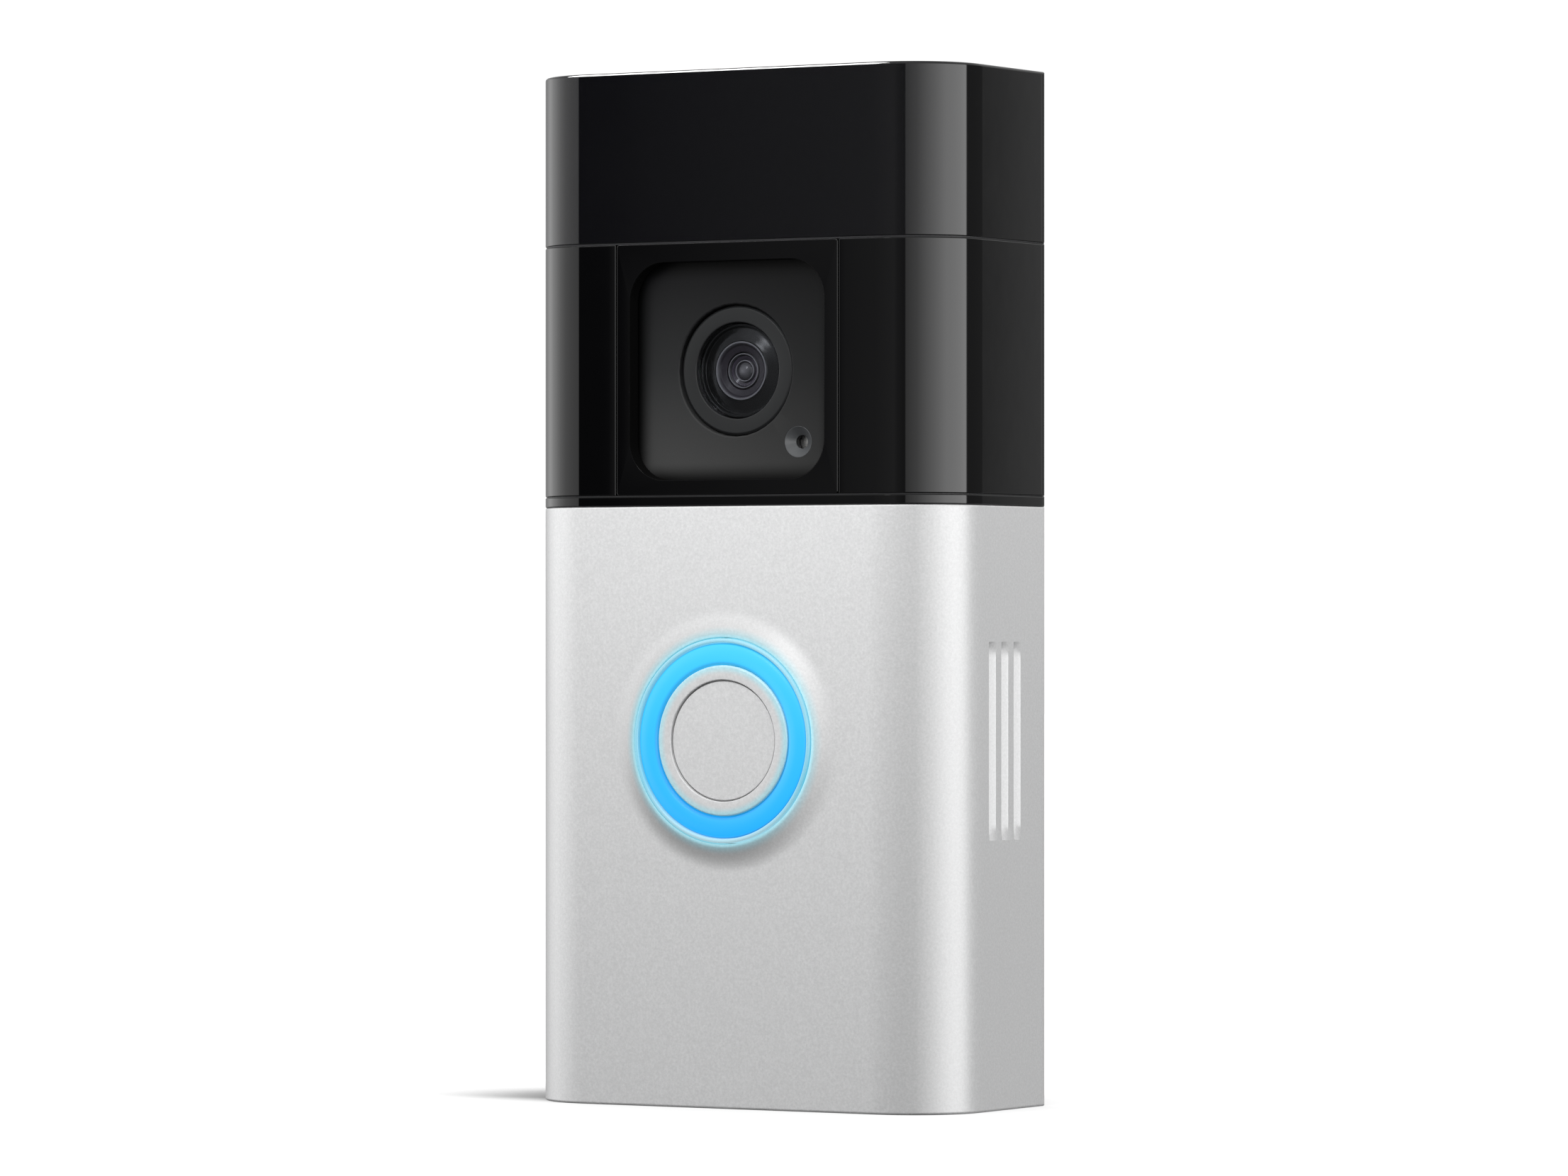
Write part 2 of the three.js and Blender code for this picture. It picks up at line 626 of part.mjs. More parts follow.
const LIGHT_RING = { inner: 9.42, outer: 12.0, front: FRONT - RING_PROUD + 0.1, rear: -8.8 };
const LIGHT_RIM = { inner: 12.08, outer: 12.6, front: FRONT - RING_PROUD };
const CUP = { inner: 12.7, outer: 13.8, front: -9.9, floor: -8.6, rear: -7.4, stemHole: 3.3 };
const CUP_LEG = { count: 3, inset: 1, radius: 0.9, overlap: 0.5 };
const CAP = {
  outer: 9.3, inner: 7.45, front: -13.3, floor: -12.6, floorRear: -11.8, skirtRear: -9.8, skirtThick: 1.2,
};
const BUTTON_SEAL = { gap: 0.2, outer: 7.6, thick: 0.7 };
const RETAINER = { gap: 0.1, outer: 5.2, thick: 0.5 };
const STEM = { radius: 3.0, rear: -6.7 };
const DISC = { radius: 7.36, front: -13.1, rear: -12.7 };
const RING_LED = { count: 4, ring: 10.7, half: 0.9, window: 1.5, front: -4.9 };
const BUTTON_BOARD = { halfWidth: 21.5, low: 30, high: 67, radius: 2, front: -3.9, rear: -3.0 };

function ringLedPlaces() {
  return Array.from({ length: RING_LED.count }, (_, i) => {
    const turn = ((i + 0.5) * 2 * Math.PI) / RING_LED.count;
    return [RING_LED.ring * Math.cos(turn), BUTTON_Z + RING_LED.ring * Math.sin(turn)];
  });
}

function buttonHousing() {
  const { inner, outer, front, floor, rear, stemHole } = CUP;
  const profile = [
    [stemHole, floor], [inner, floor], [inner, front], [outer, front],
    [outer, rear], [stemHole, rear], [stemHole, floor],
  ];
  const cup = turned(profile, 0, BUTTON_Z, RING_SIDES);
  const legs = Array.from({ length: CUP_LEG.count }, (_, i) => {
    const turn = (i * 2 * Math.PI) / CUP_LEG.count + Math.PI / 2;
    const x = (outer - CUP_LEG.inset) * Math.cos(turn);
    const z = BUTTON_Z + (outer - CUP_LEG.inset) * Math.sin(turn);
    return disc(CUP_LEG.radius, rear - CUP_LEG.overlap, BUTTON_BOARD.front - FIT, x, z, SMALL_SIDES);
  });
  const windows = ringLedPlaces().map(([x, z]) => (
    disc(RING_LED.window, floor - CUT, rear + CUT, x, z, SMALL_SIDES)
  ));
  return cut(join(cup, ...legs), ...windows);
}

function lightRing() {
  const { inner, outer, front, rear } = LIGHT_RING;
  return washer(inner, outer, front, rear, 0, BUTTON_Z, RING_SIDES);
}

function lightRingRim() {
  const { inner, outer, front } = LIGHT_RIM;
  return washer(inner, outer, front, LIGHT_RING.rear, 0, BUTTON_Z, RING_SIDES);
}

function buttonCap() {
  const { outer, inner, front, floor, floorRear, skirtRear, skirtThick } = CAP;
  const profile = [
    [0, floor], [inner, floor], [inner, front], [outer, front], [outer, skirtRear],
    [outer - skirtThick, skirtRear], [outer - skirtThick, floorRear],
    [STEM.radius, floorRear], [STEM.radius, STEM.rear], [0, STEM.rear],
  ];
  return turned(profile, 0, BUTTON_Z, RING_SIDES);
}

function buttonDisc() {
  return disc(DISC.radius, DISC.front, DISC.rear, 0, BUTTON_Z, RING_SIDES);
}

function buttonSeal() {
  const { gap, outer, thick } = BUTTON_SEAL;
  const rear = CUP.floor - FIT;
  return washer(STEM.radius + gap, outer, rear - thick, rear, 0, BUTTON_Z);
}

function buttonRetainer() {
  const { gap, outer, thick } = RETAINER;
  const front = CUP.rear + FIT;
  return washer(STEM.radius + gap, outer, front, front + thick, 0, BUTTON_Z);
}

const SWITCH = { half: 3, front: -5.9, floor: -4.5, hole: 1.9, plunger: 1.7, plungerTip: -5.4 };

function switchPlunger() {
  return disc(SWITCH.plunger, STEM.rear + FIT, SWITCH.plungerTip, 0, BUTTON_Z);
}

function tactileSwitch() {
  const { half, front, floor, hole } = SWITCH;
  const body = block([-half, front, BUTTON_Z - half], [half, BUTTON_BOARD.front - FIT, BUTTON_Z + half]);
  return cut(body, disc(hole, front - CUT, floor, 0, BUTTON_Z));
}

function buttonBoard() {
  const { halfWidth, low, high, radius, front, rear } = BUTTON_BOARD;
  return carried(roundedRectangle(halfWidth, (high - low) / 2, radius, 0, (high + low) / 2), front, rear);
}

function ringLed([x, z]) {
  const { half, front } = RING_LED;
  return block([x - half, front, z - half], [x + half, BUTTON_BOARD.front - FIT, z + half]);
}

const RIBBON = {
  left: -16, width: 6, thick: 0.3, low: 60, bendLow: 68.5, bendHigh: 73, high: 76, skew: 0.2,
};
const RIBBON_GAP = { board: 0.15, main: 0.45 };

// A flat cable behind the button board that bends back to the front of the main board
function ribbonCable() {
  const { left, width, thick, low, bendLow, bendHigh, high, skew } = RIBBON;
  const y0 = BUTTON_BOARD.rear + RIBBON_GAP.board;
  const y1 = MAIN_BOARD.front - RIBBON_GAP.main;
  const shape = new THREE.Shape();
  shape.moveTo(y0, low);
  shape.lineTo(y0 + thick, low);
  shape.lineTo(y0 + thick, bendLow);
  shape.lineTo(y1 + thick, bendHigh);
  shape.lineTo(y1 + thick, high);
  shape.lineTo(y1, high);
  shape.lineTo(y1, bendHigh + skew);
  shape.lineTo(y0, bendLow + skew);
  const geometry = new THREE.ExtrudeGeometry(shape, { depth: width, bevelEnabled: false });
  const turn = new THREE.Matrix4().set(0, 0, 1, left, 1, 0, 0, 0, 0, 1, 0, 0, 0, 0, 0, 1);
  geometry.applyMatrix4(turn);
  return solid(geometry);
}

function setupButton() {
  const { radius, proud, flange, flangeThick, stem, tip } = SETUP;
  const front = UNIT.front - proud;
  const behind = COVER_INNER + FIT;
  const flangeRear = behind + flangeThick;
  const profile = [
    [0, front], [radius, front], [radius, behind], [flange, behind],
    [flange, flangeRear], [stem, flangeRear], [stem, tip], [0, tip],
  ];
  return turned(profile, SETUP.x, SETUP.z);
}

// ---- Wall terminals -------------------------------------------------------------------

function terminalPlate(side) {
  const { z, hole, plateHalf, plateThick } = TERMINAL;
  const x = side * TERMINAL.x;
  const front = POCKET_FLOOR + FIT;
  const plate = block(
    [x - plateHalf, front, z - plateHalf],
    [x + plateHalf, front + plateThick, z + plateHalf],
  );
  return cut(plate, disc(hole, POCKET_FLOOR - CUT, BACK, x, z));
}

// A slotted screw with its head to the back
function terminalScrew(side) {
  const { z, plateThick, plateHalf, head, headThick, thread, tip, slotDepth, slotHalf } = TERMINAL;
  const x = side * TERMINAL.x;
  const under = POCKET_FLOOR + plateThick + 2 * FIT;
  const top = under + headThick;
  const profile = [[0, tip], [thread, tip], [thread, under], [head, under], [head, top], [0, top]];
  const slot = block(
    [x - plateHalf, top - slotDepth, z - slotHalf],
    [x + plateHalf, top + CUT, z + slotHalf],
  );
  return cut(turned(profile, x, z), slot);
}

// ---- Battery pack, its bay and its latch ----------------------------------------------

const PACK = {
  halfWidth: 18.9, front: -0.5, rear: 10.1, low: 0.5, high: 66, wall: 1.0, base: 2.2, lid: 1.5,
};
const FOOT_GAP = 0.2;
const CELL = { gap: 0.3, radius: 3, low: 9.1, high: 63 };
const CELL_SPACE_LOW = 8.8;
const FINGER_GRIP = { left: 2, right: 15, front: 1.5, rear: 8.1, top: 1.9 };
const CHARGE_PORT = {
  left: -14.4, right: -5.6, front: 3.4, rear: 6.2, low: 1.2, high: 5.4, side: 0.5, wall: 0.4,
};
const PORT_GAP = 0.2;
const CONTACT = {
  places: [-4.5, 0, 4.5], y: 5, pin: 0.7, pad: 1.2, padDepth: 0.4, pinGap: 0.4,
  halfWidth: 8, front: 1.5, rear: 8.5, lift: 0.2, thick: 2, overlap: 1,
};

function batteryBay() {
  const { halfWidth, wall, front, rear, low, high } = BAY;
  const outer = midBlock(halfWidth, [front, low], [rear, high]);
  const inner = midBlock(halfWidth - wall, [front + wall, low - CUT], [rear - wall, high - wall]);
  const contactHole = midBlock(
    CONTACT.halfWidth - CUT,
    [CONTACT.front + CUT, high - 2 * wall],
    [CONTACT.rear - CUT, high + CUT],
  );
  return cut(outer, inner, contactHole);
}

function batteryContacts() {
  const { halfWidth, front, rear, lift, thick, pin, pinGap, overlap, y } = CONTACT;
  const low = BAY.high + lift;
  const carrier = midBlock(halfWidth, [front, low], [rear, low + thick]);
  const pins = CONTACT.places.map((x) => upright(pin, PACK.high + pinGap, low + overlap, x, y, SMALL_SIDES));
  return join(carrier, ...pins);
}

function batteryCase() {
  const { halfWidth, front, rear, low, high, wall, base, lid } = PACK;
  const body = midBlock(halfWidth, [front, low], [rear, high - lid - FIT]);
  const foot = midBlock(BAY.halfWidth, [BAY.front + FOOT_GAP, low], [BAY.rear - FOOT_GAP, low + base]);
  const hollow = midBlock(halfWidth - wall, [front + wall, CELL_SPACE_LOW], [rear - wall, high]);
  const port = block(
    [CHARGE_PORT.left - PORT_GAP, CHARGE_PORT.front - PORT_GAP, -CUT],
    [CHARGE_PORT.right + PORT_GAP, CHARGE_PORT.rear + PORT_GAP, CHARGE_PORT.high + PORT_GAP],
  );
  const grip = block(
    [FINGER_GRIP.left, FINGER_GRIP.front, -CUT],
    [FINGER_GRIP.right, FINGER_GRIP.rear, FINGER_GRIP.top],
  );
  return cut(join(body, foot), hollow, port, grip);
}

function batteryCell() {
  const { halfWidth, front, rear, wall } = PACK;
  const half = halfWidth - wall - CELL.gap;
  const y0 = front + wall + CELL.gap;
  const y1 = rear - wall - CELL.gap;
  const shape = roundedRectangle(half, (y1 - y0) / 2, CELL.radius, 0, (y0 + y1) / 2);
  return raised(shape, CELL.low, CELL.high);
}

function batteryLid() {
  const { halfWidth, front, rear, high, lid } = PACK;
  const plate = midBlock(halfWidth, [front, high - lid], [rear, high]);
  const pads = CONTACT.places.map((x) => (
    upright(CONTACT.pad, high - CONTACT.padDepth, high + CUT, x, CONTACT.y, SMALL_SIDES)
  ));
  return cut(plate, ...pads);
}

function chargePort() {
  const { left, right, front, rear, low, high, side, wall } = CHARGE_PORT;
  const outer = block([left, front, low], [right, rear, high]);
  const inner = block([left + side, front + wall, low - CUT], [right - side, rear - wall, high - side]);
  return cut(outer, inner);
}

function batteryLatch() {
  const { x, halfWidth, low, high, flange, grip } = LATCH;
  const front = UNIT.front - FIT;
  const thumb = block([x - halfWidth, front, low], [x + halfWidth, COVER_INNER + flange / 2, high]);
  const slide = block(
    [x - halfWidth - flange, COVER_INNER + FIT, low - CUT],
    [x + halfWidth + flange, COVER_INNER + CUT, high + CUT],
  );
  const middle = (low + high) / 2;
  const groove = block(
    [x - halfWidth + grip, front - CUT, middle - grip / 2],
    [x + halfWidth - grip, front + grip, middle + grip / 2],
  );
  return cut(join(thumb, slide), groove);
}

// ---- Materials ------------------------------------------------------------------------

const FINISH = {
  silver: { color: 0xc9cacb, roughness: 0.38, metalness: 0.7 },
  glossBlack: { color: 0x050506, roughness: 0.06, metalness: 0 },
  mattBlack: { color: 0x17181a, roughness: 0.55, metalness: 0 },
  windowBlack: { color: 0x2b2c2e, roughness: 0.4, metalness: 0 },
  glass: { color: 0x101214, roughness: 0.03, metalness: 0 },
  blueLight: { color: 0x2fb4ff, roughness: 0.3, metalness: 0 },
  paleRim: { color: 0xbfe9f4, roughness: 0.25, metalness: 0 },
  boardGreen: { color: 0x14472c, roughness: 0.5, metalness: 0 },
  steel: { color: 0xa8abae, roughness: 0.3, metalness: 1 },
  brass: { color: 0xb8973e, roughness: 0.35, metalness: 1 },
  rubber: { color: 0x0c0c0d, roughness: 0.85, metalness: 0 },
  whitePlastic: { color: 0xe6e6e2, roughness: 0.5, metalness: 0 },
  greyPlastic: { color: 0x55585c, roughness: 0.5, metalness: 0 },
  orange: { color: 0xe2661a, roughness: 0.45, metalness: 0 },
};

const materialOf = Object.fromEntries(
  Object.entries(FINISH).map(([name, look]) => [name, new THREE.MeshStandardMaterial(look)]),
);

// ---- The assembly ---------------------------------------------------------------------

const group = new THREE.Group();

function part(name, body, finish) {
  const mesh = new THREE.Mesh(geometryOf(body), materialOf[finish]);
  mesh.name = name;
  group.add(mesh);
}

part('faceplate_shell', faceplateShell(), 'silver');
part('faceplate_trim', faceplateTrim(), 'glossBlack');
SIDES.forEach(([name, side]) => part(`side_panel_${name}`, sidePanel(side), 'glossBlack'));
part('camera_tile', cameraTile(), 'glossBlack');
part('top_cover', topCover(), 'glossBlack');
part('faceplate_carrier', faceplateCarrier(), 'mattBlack');
part('security_screw', securityScrew(), 'steel');

part('front_cover', frontCover(), 'mattBlack');
part('rear_housing', rearHousing(), 'mattBlack');
part('case_seal', caseSeal(), 'rubber');
places(CASE_SCREW).forEach((place, i) => part(`case_screw_${i + 1}`, caseScrew(place), 'steel'));

part('camera_window', cameraWindow(), 'windowBlack');
part('lens_ring', lensRing(), 'windowBlack');
part('lens_glass', lensGlass(), 'glass');
part('lens_barrel', lensBarrel(), 'mattBlack');
part('lens_element', lensElement(), 'glass');
part('lens_holder', lensHolder(), 'mattBlack');
part('image_sensor', imageSensor(), 'greyPlastic');
part('camera_board', cameraBoard(), 'boardGreen');
irPlaces().forEach((place, i) => part(`ir_led_${i + 1}`, domedPart(place, IR_LED.radius), 'glass'));
part('microphone', microphone(), 'steel');
SIDES.forEach(([name, side]) => part(`motion_sensor_${name}`, motionSensor(side), 'steel'));

part('main_board', mainBoard(), 'boardGreen');
part('wireless_module', wirelessModule(), 'steel');
part('antenna', antenna(), 'brass');
part('speaker_driver', speakerDriver(), 'greyPlastic');

part('button_housing', buttonHousing(), 'whitePlastic');
part('light_ring', lightRing(), 'blueLight');
part('light_ring_rim', lightRingRim(), 'paleRim');
part('button_board', buttonBoard(), 'boardGreen');
ringLedPlaces().forEach((place, i) => part(`ring_led_${i + 1}`, ringLed(place), 'whitePlastic'));
part('tactile_switch', tactileSwitch(), 'greyPlastic');
part('ribbon_cable', ribbonCable(), 'orange');
part('button_seal', buttonSeal(), 'rubber');
part('button_cap', buttonCap(), 'silver');
part('button_disc', buttonDisc(), 'silver');
part('button_retainer', buttonRetainer(), 'steel');
part('switch_plunger', switchPlunger(), 'greyPlastic');
part('setup_button', setupButton(), 'orange');

SIDES.forEach(([name, side]) => part(`terminal_plate_${name}`, terminalPlate(side), 'brass'));
SIDES.forEach(([name, side]) => part(`terminal_screw_${name}`, terminalScrew(side), 'steel'));

part('battery_bay', batteryBay(), 'mattBlack');
part('battery_contacts', batteryContacts(), 'brass');
part('battery_case', batteryCase(), 'greyPlastic');
part('battery_cell', batteryCell(), 'whitePlastic');
part('battery_lid', batteryLid(), 'greyPlastic');
part('charge_port', chargePort(), 'steel');
part('battery_latch', batteryLatch(), 'greyPlastic');

export default group;
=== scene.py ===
import json
import math
from collections import namedtuple

import bmesh
import bpy
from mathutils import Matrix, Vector


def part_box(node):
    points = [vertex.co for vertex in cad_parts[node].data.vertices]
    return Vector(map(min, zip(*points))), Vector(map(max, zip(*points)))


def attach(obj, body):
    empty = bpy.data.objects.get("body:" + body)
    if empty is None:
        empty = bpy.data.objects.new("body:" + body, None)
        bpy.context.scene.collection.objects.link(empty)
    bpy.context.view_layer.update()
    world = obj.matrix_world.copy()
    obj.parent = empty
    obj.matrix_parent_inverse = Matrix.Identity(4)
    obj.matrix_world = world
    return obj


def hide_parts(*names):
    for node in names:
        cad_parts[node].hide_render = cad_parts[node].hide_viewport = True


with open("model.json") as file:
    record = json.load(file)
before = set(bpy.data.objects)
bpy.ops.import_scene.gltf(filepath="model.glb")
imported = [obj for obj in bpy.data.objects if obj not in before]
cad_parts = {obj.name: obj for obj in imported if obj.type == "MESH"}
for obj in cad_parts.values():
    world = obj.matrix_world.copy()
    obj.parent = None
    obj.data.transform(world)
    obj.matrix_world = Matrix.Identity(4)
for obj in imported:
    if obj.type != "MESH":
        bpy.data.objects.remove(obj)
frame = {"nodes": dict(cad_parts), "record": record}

# Lengths below are in millimetres and become metres when a mesh is made. +Z is up, the front
# faces -Y, and the origin is the middle of the underside, as in the CAD model.
MM = 0.001
Place = namedtuple("Place", "x y z")

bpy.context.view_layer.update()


# ---- Places taken from the CAD frame ---------------------------------------------------

def node_box(node):
    low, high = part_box(node)
    return low / MM, high / MM


def node_middle(node):
    """The middle of a CAD node's box, and half of its size, as numbers that a Vector would round."""
    low, high = node_box(node)
    middle = Place(*((a + b) / 2 for a, b in zip(low, high)))
    half = Place(*((b - a) / 2 for a, b in zip(low, high)))
    return middle, half


SHELL_LOW, SHELL_HIGH = node_box("faceplate_shell")
TRIM_LOW, TRIM_HIGH = node_box("faceplate_trim")
PANEL_LOW, PANEL_HIGH = node_box("side_panel_right")
TILE_LOW, TILE_HIGH = node_box("camera_tile")
TOP_LOW, TOP_HIGH = node_box("top_cover")
WINDOW_LOW, WINDOW_HIGH = node_box("camera_window")
RING_LOW, RING_HIGH = node_box("light_ring")
RIM_LOW, RIM_HIGH = node_box("light_ring_rim")

SIDE = TRIM_HIGH.x
FRONT = TRIM_LOW.y
REAR = TRIM_HIGH.y
BUTTON_Z = node_middle("button_cap")[0].z
LENS_Z = node_middle("lens_ring")[0].z
CAP_RADIUS = node_box("button_cap")[1].x
RING_RADIUS = RING_HIGH.x
RIM_RADIUS = RIM_HIGH.x

# ---- Driving dimensions of the faceplate -----------------------------------------------

CORNER = 9.4               # radius of the upright front corners
SKIN = 1.3                 # thickness of every skin
SKIN_EDGE = 0.25           # rounding of the skins' rear edges
SKIN_SHARP = 23.5          # degrees above which an edge of a skin stays crisp
SEAM_SET_BACK = 0.12       # how far the fillers lie behind the skins
SLIVER = 0.01

SKIRT_BASE = 16.2          # radius at which the skirt leaves the front face
SKIRT_TOP = 12.9
SKIRT_HOLE = 12.70
HOLE_EDGE = 0.12
SKIRT_MARGIN = 1.2
SKIRT_STEP = 0.25
PATCH_HALF = 18.0          # half of the square of the grid that the skirt takes the place of
PATCH_STEPS = 32

GROOVE_STARTS = [FRONT + 11.5 + 3.1 * k for k in range(3)]
GROOVE_WIDTH = 1.75
GROOVE_DEPTH = 0.8
GROOVE_HALF = 12.2
GROOVE_WALL = 0.06

TILE_THICK = 1.1
TILE_EDGE = 0.12
TILE_CORNER = 0.3
COLLAR_CORNER = 3.0
WINDOW_HALF_X = 14.0
WINDOW_HALF_Z = 13.5
WINDOW_RADIUS = 4.9
WINDOW_EDGE = 0.03


# ---- Mesh helpers ----------------------------------------------------------------------

def make_object(name, verts, faces, sharp=35):
    """A mesh object from points in millimetres, welded, facing out and smooth but for its edges."""
    mesh = bpy.data.meshes.new(name)
    mesh.from_pydata([Vector(v) * MM for v in verts], [], faces)
    tidy_mesh(mesh, sharp)
    return add_object(name, mesh)


def add_object(name, data):
    obj = bpy.data.objects.new(name, data)
    bpy.context.scene.collection.objects.link(obj)
    return obj


def tidy_mesh(mesh, sharp):
    bm = bmesh.new()
    bm.from_mesh(mesh)
    bmesh.ops.remove_doubles(bm, verts=bm.verts, dist=2e-7)
    bmesh.ops.dissolve_degenerate(bm, edges=bm.edges, dist=1e-7)
    bmesh.ops.recalc_face_normals(bm, faces=bm.faces)
    bm.to_mesh(mesh)
    bm.free()
    mesh.shade_smooth()
    mesh.set_sharp_from_angle(angle=math.radians(sharp))


def rounded(points, steps=4, closed=True):
    """An outline whose corners (a, b, fillet) are softened by a small curve."""
    result = []
    count = len(points)
    for i, point in enumerate(points):
        here = Vector(point[:2])
        fillet = point[2] if len(point) > 2 else 0
        at_end = not closed and i in (0, count - 1)
        if fillet <= 0 or at_end:
            result.append(tuple(here))
            continue
        before = Vector(points[i - 1][:2])
        after = Vector(points[(i + 1) % count][:2])
        reach_in = min(fillet, (before - here).length * 0.5)
        reach_out = min(fillet, (after - here).length * 0.5)
        start = here + (before - here).normalized() * reach_in
        end = here + (after - here).normalized() * reach_out
        for k in range(steps + 1):
            t = k / steps
            result.append(tuple(start * (1 - t) ** 2 + here * 2 * t * (1 - t) + end * t * t))
    return result


def turned(name, profile, at, upright=False, closed=True, steps=128, fillet_steps=4, sharp=35):
    """A profile of (radius, place along the axis, fillet) turned about an axis.

    The axis runs front to back through (x, z), or up through (x, y) if upright."""
    outline = rounded(profile, fillet_steps, closed)
    count = len(outline)
    verts = []
    for j in range(steps):
        angle = 2 * math.pi * j / steps
        for radius, along in outline:
            a = at[0] + radius * math.cos(angle)
            b = at[1] + radius * math.sin(angle)
            verts.append((a, b, along) if upright else (a, along, b))
    faces = []
    last = count if closed else count - 1
    for j in range(steps):
        a = j * count
        b = ((j + 1) % steps) * count
        for i in range(last):
            k = (i + 1) % count
            faces.append((a + i, a + k, b + k, b + i))
    return make_object(name, verts, faces, sharp)


def strip(a, b, count, around=True):
    """Quads between two rows of points that start at a and b."""
    last = count if around else count - 1
    return [(a + j, a + (j + 1) % count, b + (j + 1) % count, b + j) for j in range(last)]


def lofted(name, loops, ring=False, sharp=35):
    """Loops with the same number of points joined in order, capped or joined end to start."""
    count = len(loops[0])
    verts = [p for loop in loops for p in loop]
    faces = []
    spans = len(loops) if ring else len(loops) - 1
    for i in range(spans):
        faces += strip(i * count, ((i + 1) % len(loops)) * count, count)
    if not ring:
        faces.append(tuple(range(count)))
        faces.append(tuple(range((len(loops) - 1) * count, len(loops) * count)))
    return make_object(name, verts, faces, sharp)


def rect_outline(half_a, half_b, radius, corner=10, side=6):
    """Points of a rounded rectangle about (0, 0), anticlockwise, always the same number."""
    points = []
    centres = [(1, 1, 0), (-1, 1, 90), (-1, -1, 180), (1, -1, 270)]
    for i, (sa, sb, start) in enumerate(centres):
        centre = Vector((sa * (half_a - radius), sb * (half_b - radius)))
        for k in range(corner + 1):
            angle = math.radians(start + 90 * k / corner)
            points.append(centre + radius * Vector((math.cos(angle), math.sin(angle))))
        na, nb, following = centres[(i + 1) % 4]
        angle = math.radians(following)
        there = Vector((na * (half_a - radius), nb * (half_b - radius)))
        there += radius * Vector((math.cos(angle), math.sin(angle)))
        here = points[-1]
        points += [here.lerp(there, k / side) for k in range(1, side)]
    return points


def round_outline(radius, steps=48):
    angles = [2 * math.pi * k / steps for k in range(steps)]
    return [(radius * math.cos(angle), radius * math.sin(angle)) for angle in angles]


def facing(points, y, x=0.0, z=0.0):
    """A flat outline stood up to face the front, at depth y."""
    return [(x + p[0], y, z + p[1]) for p in points]


def lying(points, z, x=0.0, y=0.0):
    """A flat outline laid in plan, at height z."""
    return [(x + p[0], y + p[1], z) for p in points]


def stood(name, outline, depths, x=0.0, z=0.0):
    """An outline run straight from one depth to another."""
    return lofted(name, [facing(outline, y, x, z) for y in depths])


def laid(name, outline, heights, x=0.0, y=0.0):
    """An outline run straight from one height to another."""
    return lofted(name, [lying(outline, z, x, y) for z in heights])


def edge_curve(radius, steps=4):
    """(depth, inset) pairs round an edge, from its side to its face."""
    angles = [math.radians(90 * k / steps) for k in range(steps + 1)]
    return [(radius * (1 - math.sin(a)), radius * (1 - math.cos(a))) for a in angles]


def carve(obj, *cutters, sharp=35):
    """Cuts other closed objects out of obj and removes them."""
    for cutter in cutters:
        change = obj.modifiers.new("cut", "BOOLEAN")
        change.operation = "DIFFERENCE"
        change.solver = "EXACT"
        change.object = cutter
    apply_modifiers(obj)
    tidy_mesh(obj.data, sharp)
    for cutter in cutters:
        bpy.data.objects.remove(cutter)
    return obj


def apply_modifiers(obj):
    graph = bpy.context.evaluated_depsgraph_get()
    mesh = bpy.data.meshes.new_from_object(obj.evaluated_get(graph))
    obj.modifiers.clear()
    obj.data = mesh


def soften(obj, width, segments=3, angle=30):
    """Rounds the sharp edges of obj."""
    change = obj.modifiers.new("edges", "BEVEL")
    change.width = width * MM
    change.segments = segments
    change.limit_method = "ANGLE"
    change.angle_limit = math.radians(angle)
    change.harden_normals = True
    apply_modifiers(obj)
    return obj


def place(obj, material, slot, body, *nodes):
    """Gives a piece its material and its body, and shades its flats flat beside their edges."""
    obj.data.materials.clear()
    obj.data.materials.append(material)
    flats = obj.modifiers.new("flats", "WEIGHTED_NORMAL")
    flats.keep_sharp = True
    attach(obj, body)
    if nodes:
        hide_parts(*nodes)
    return obj


# ---- Material helpers ------------------------------------------------------------------

def grey(level):
    return (level, level, level)


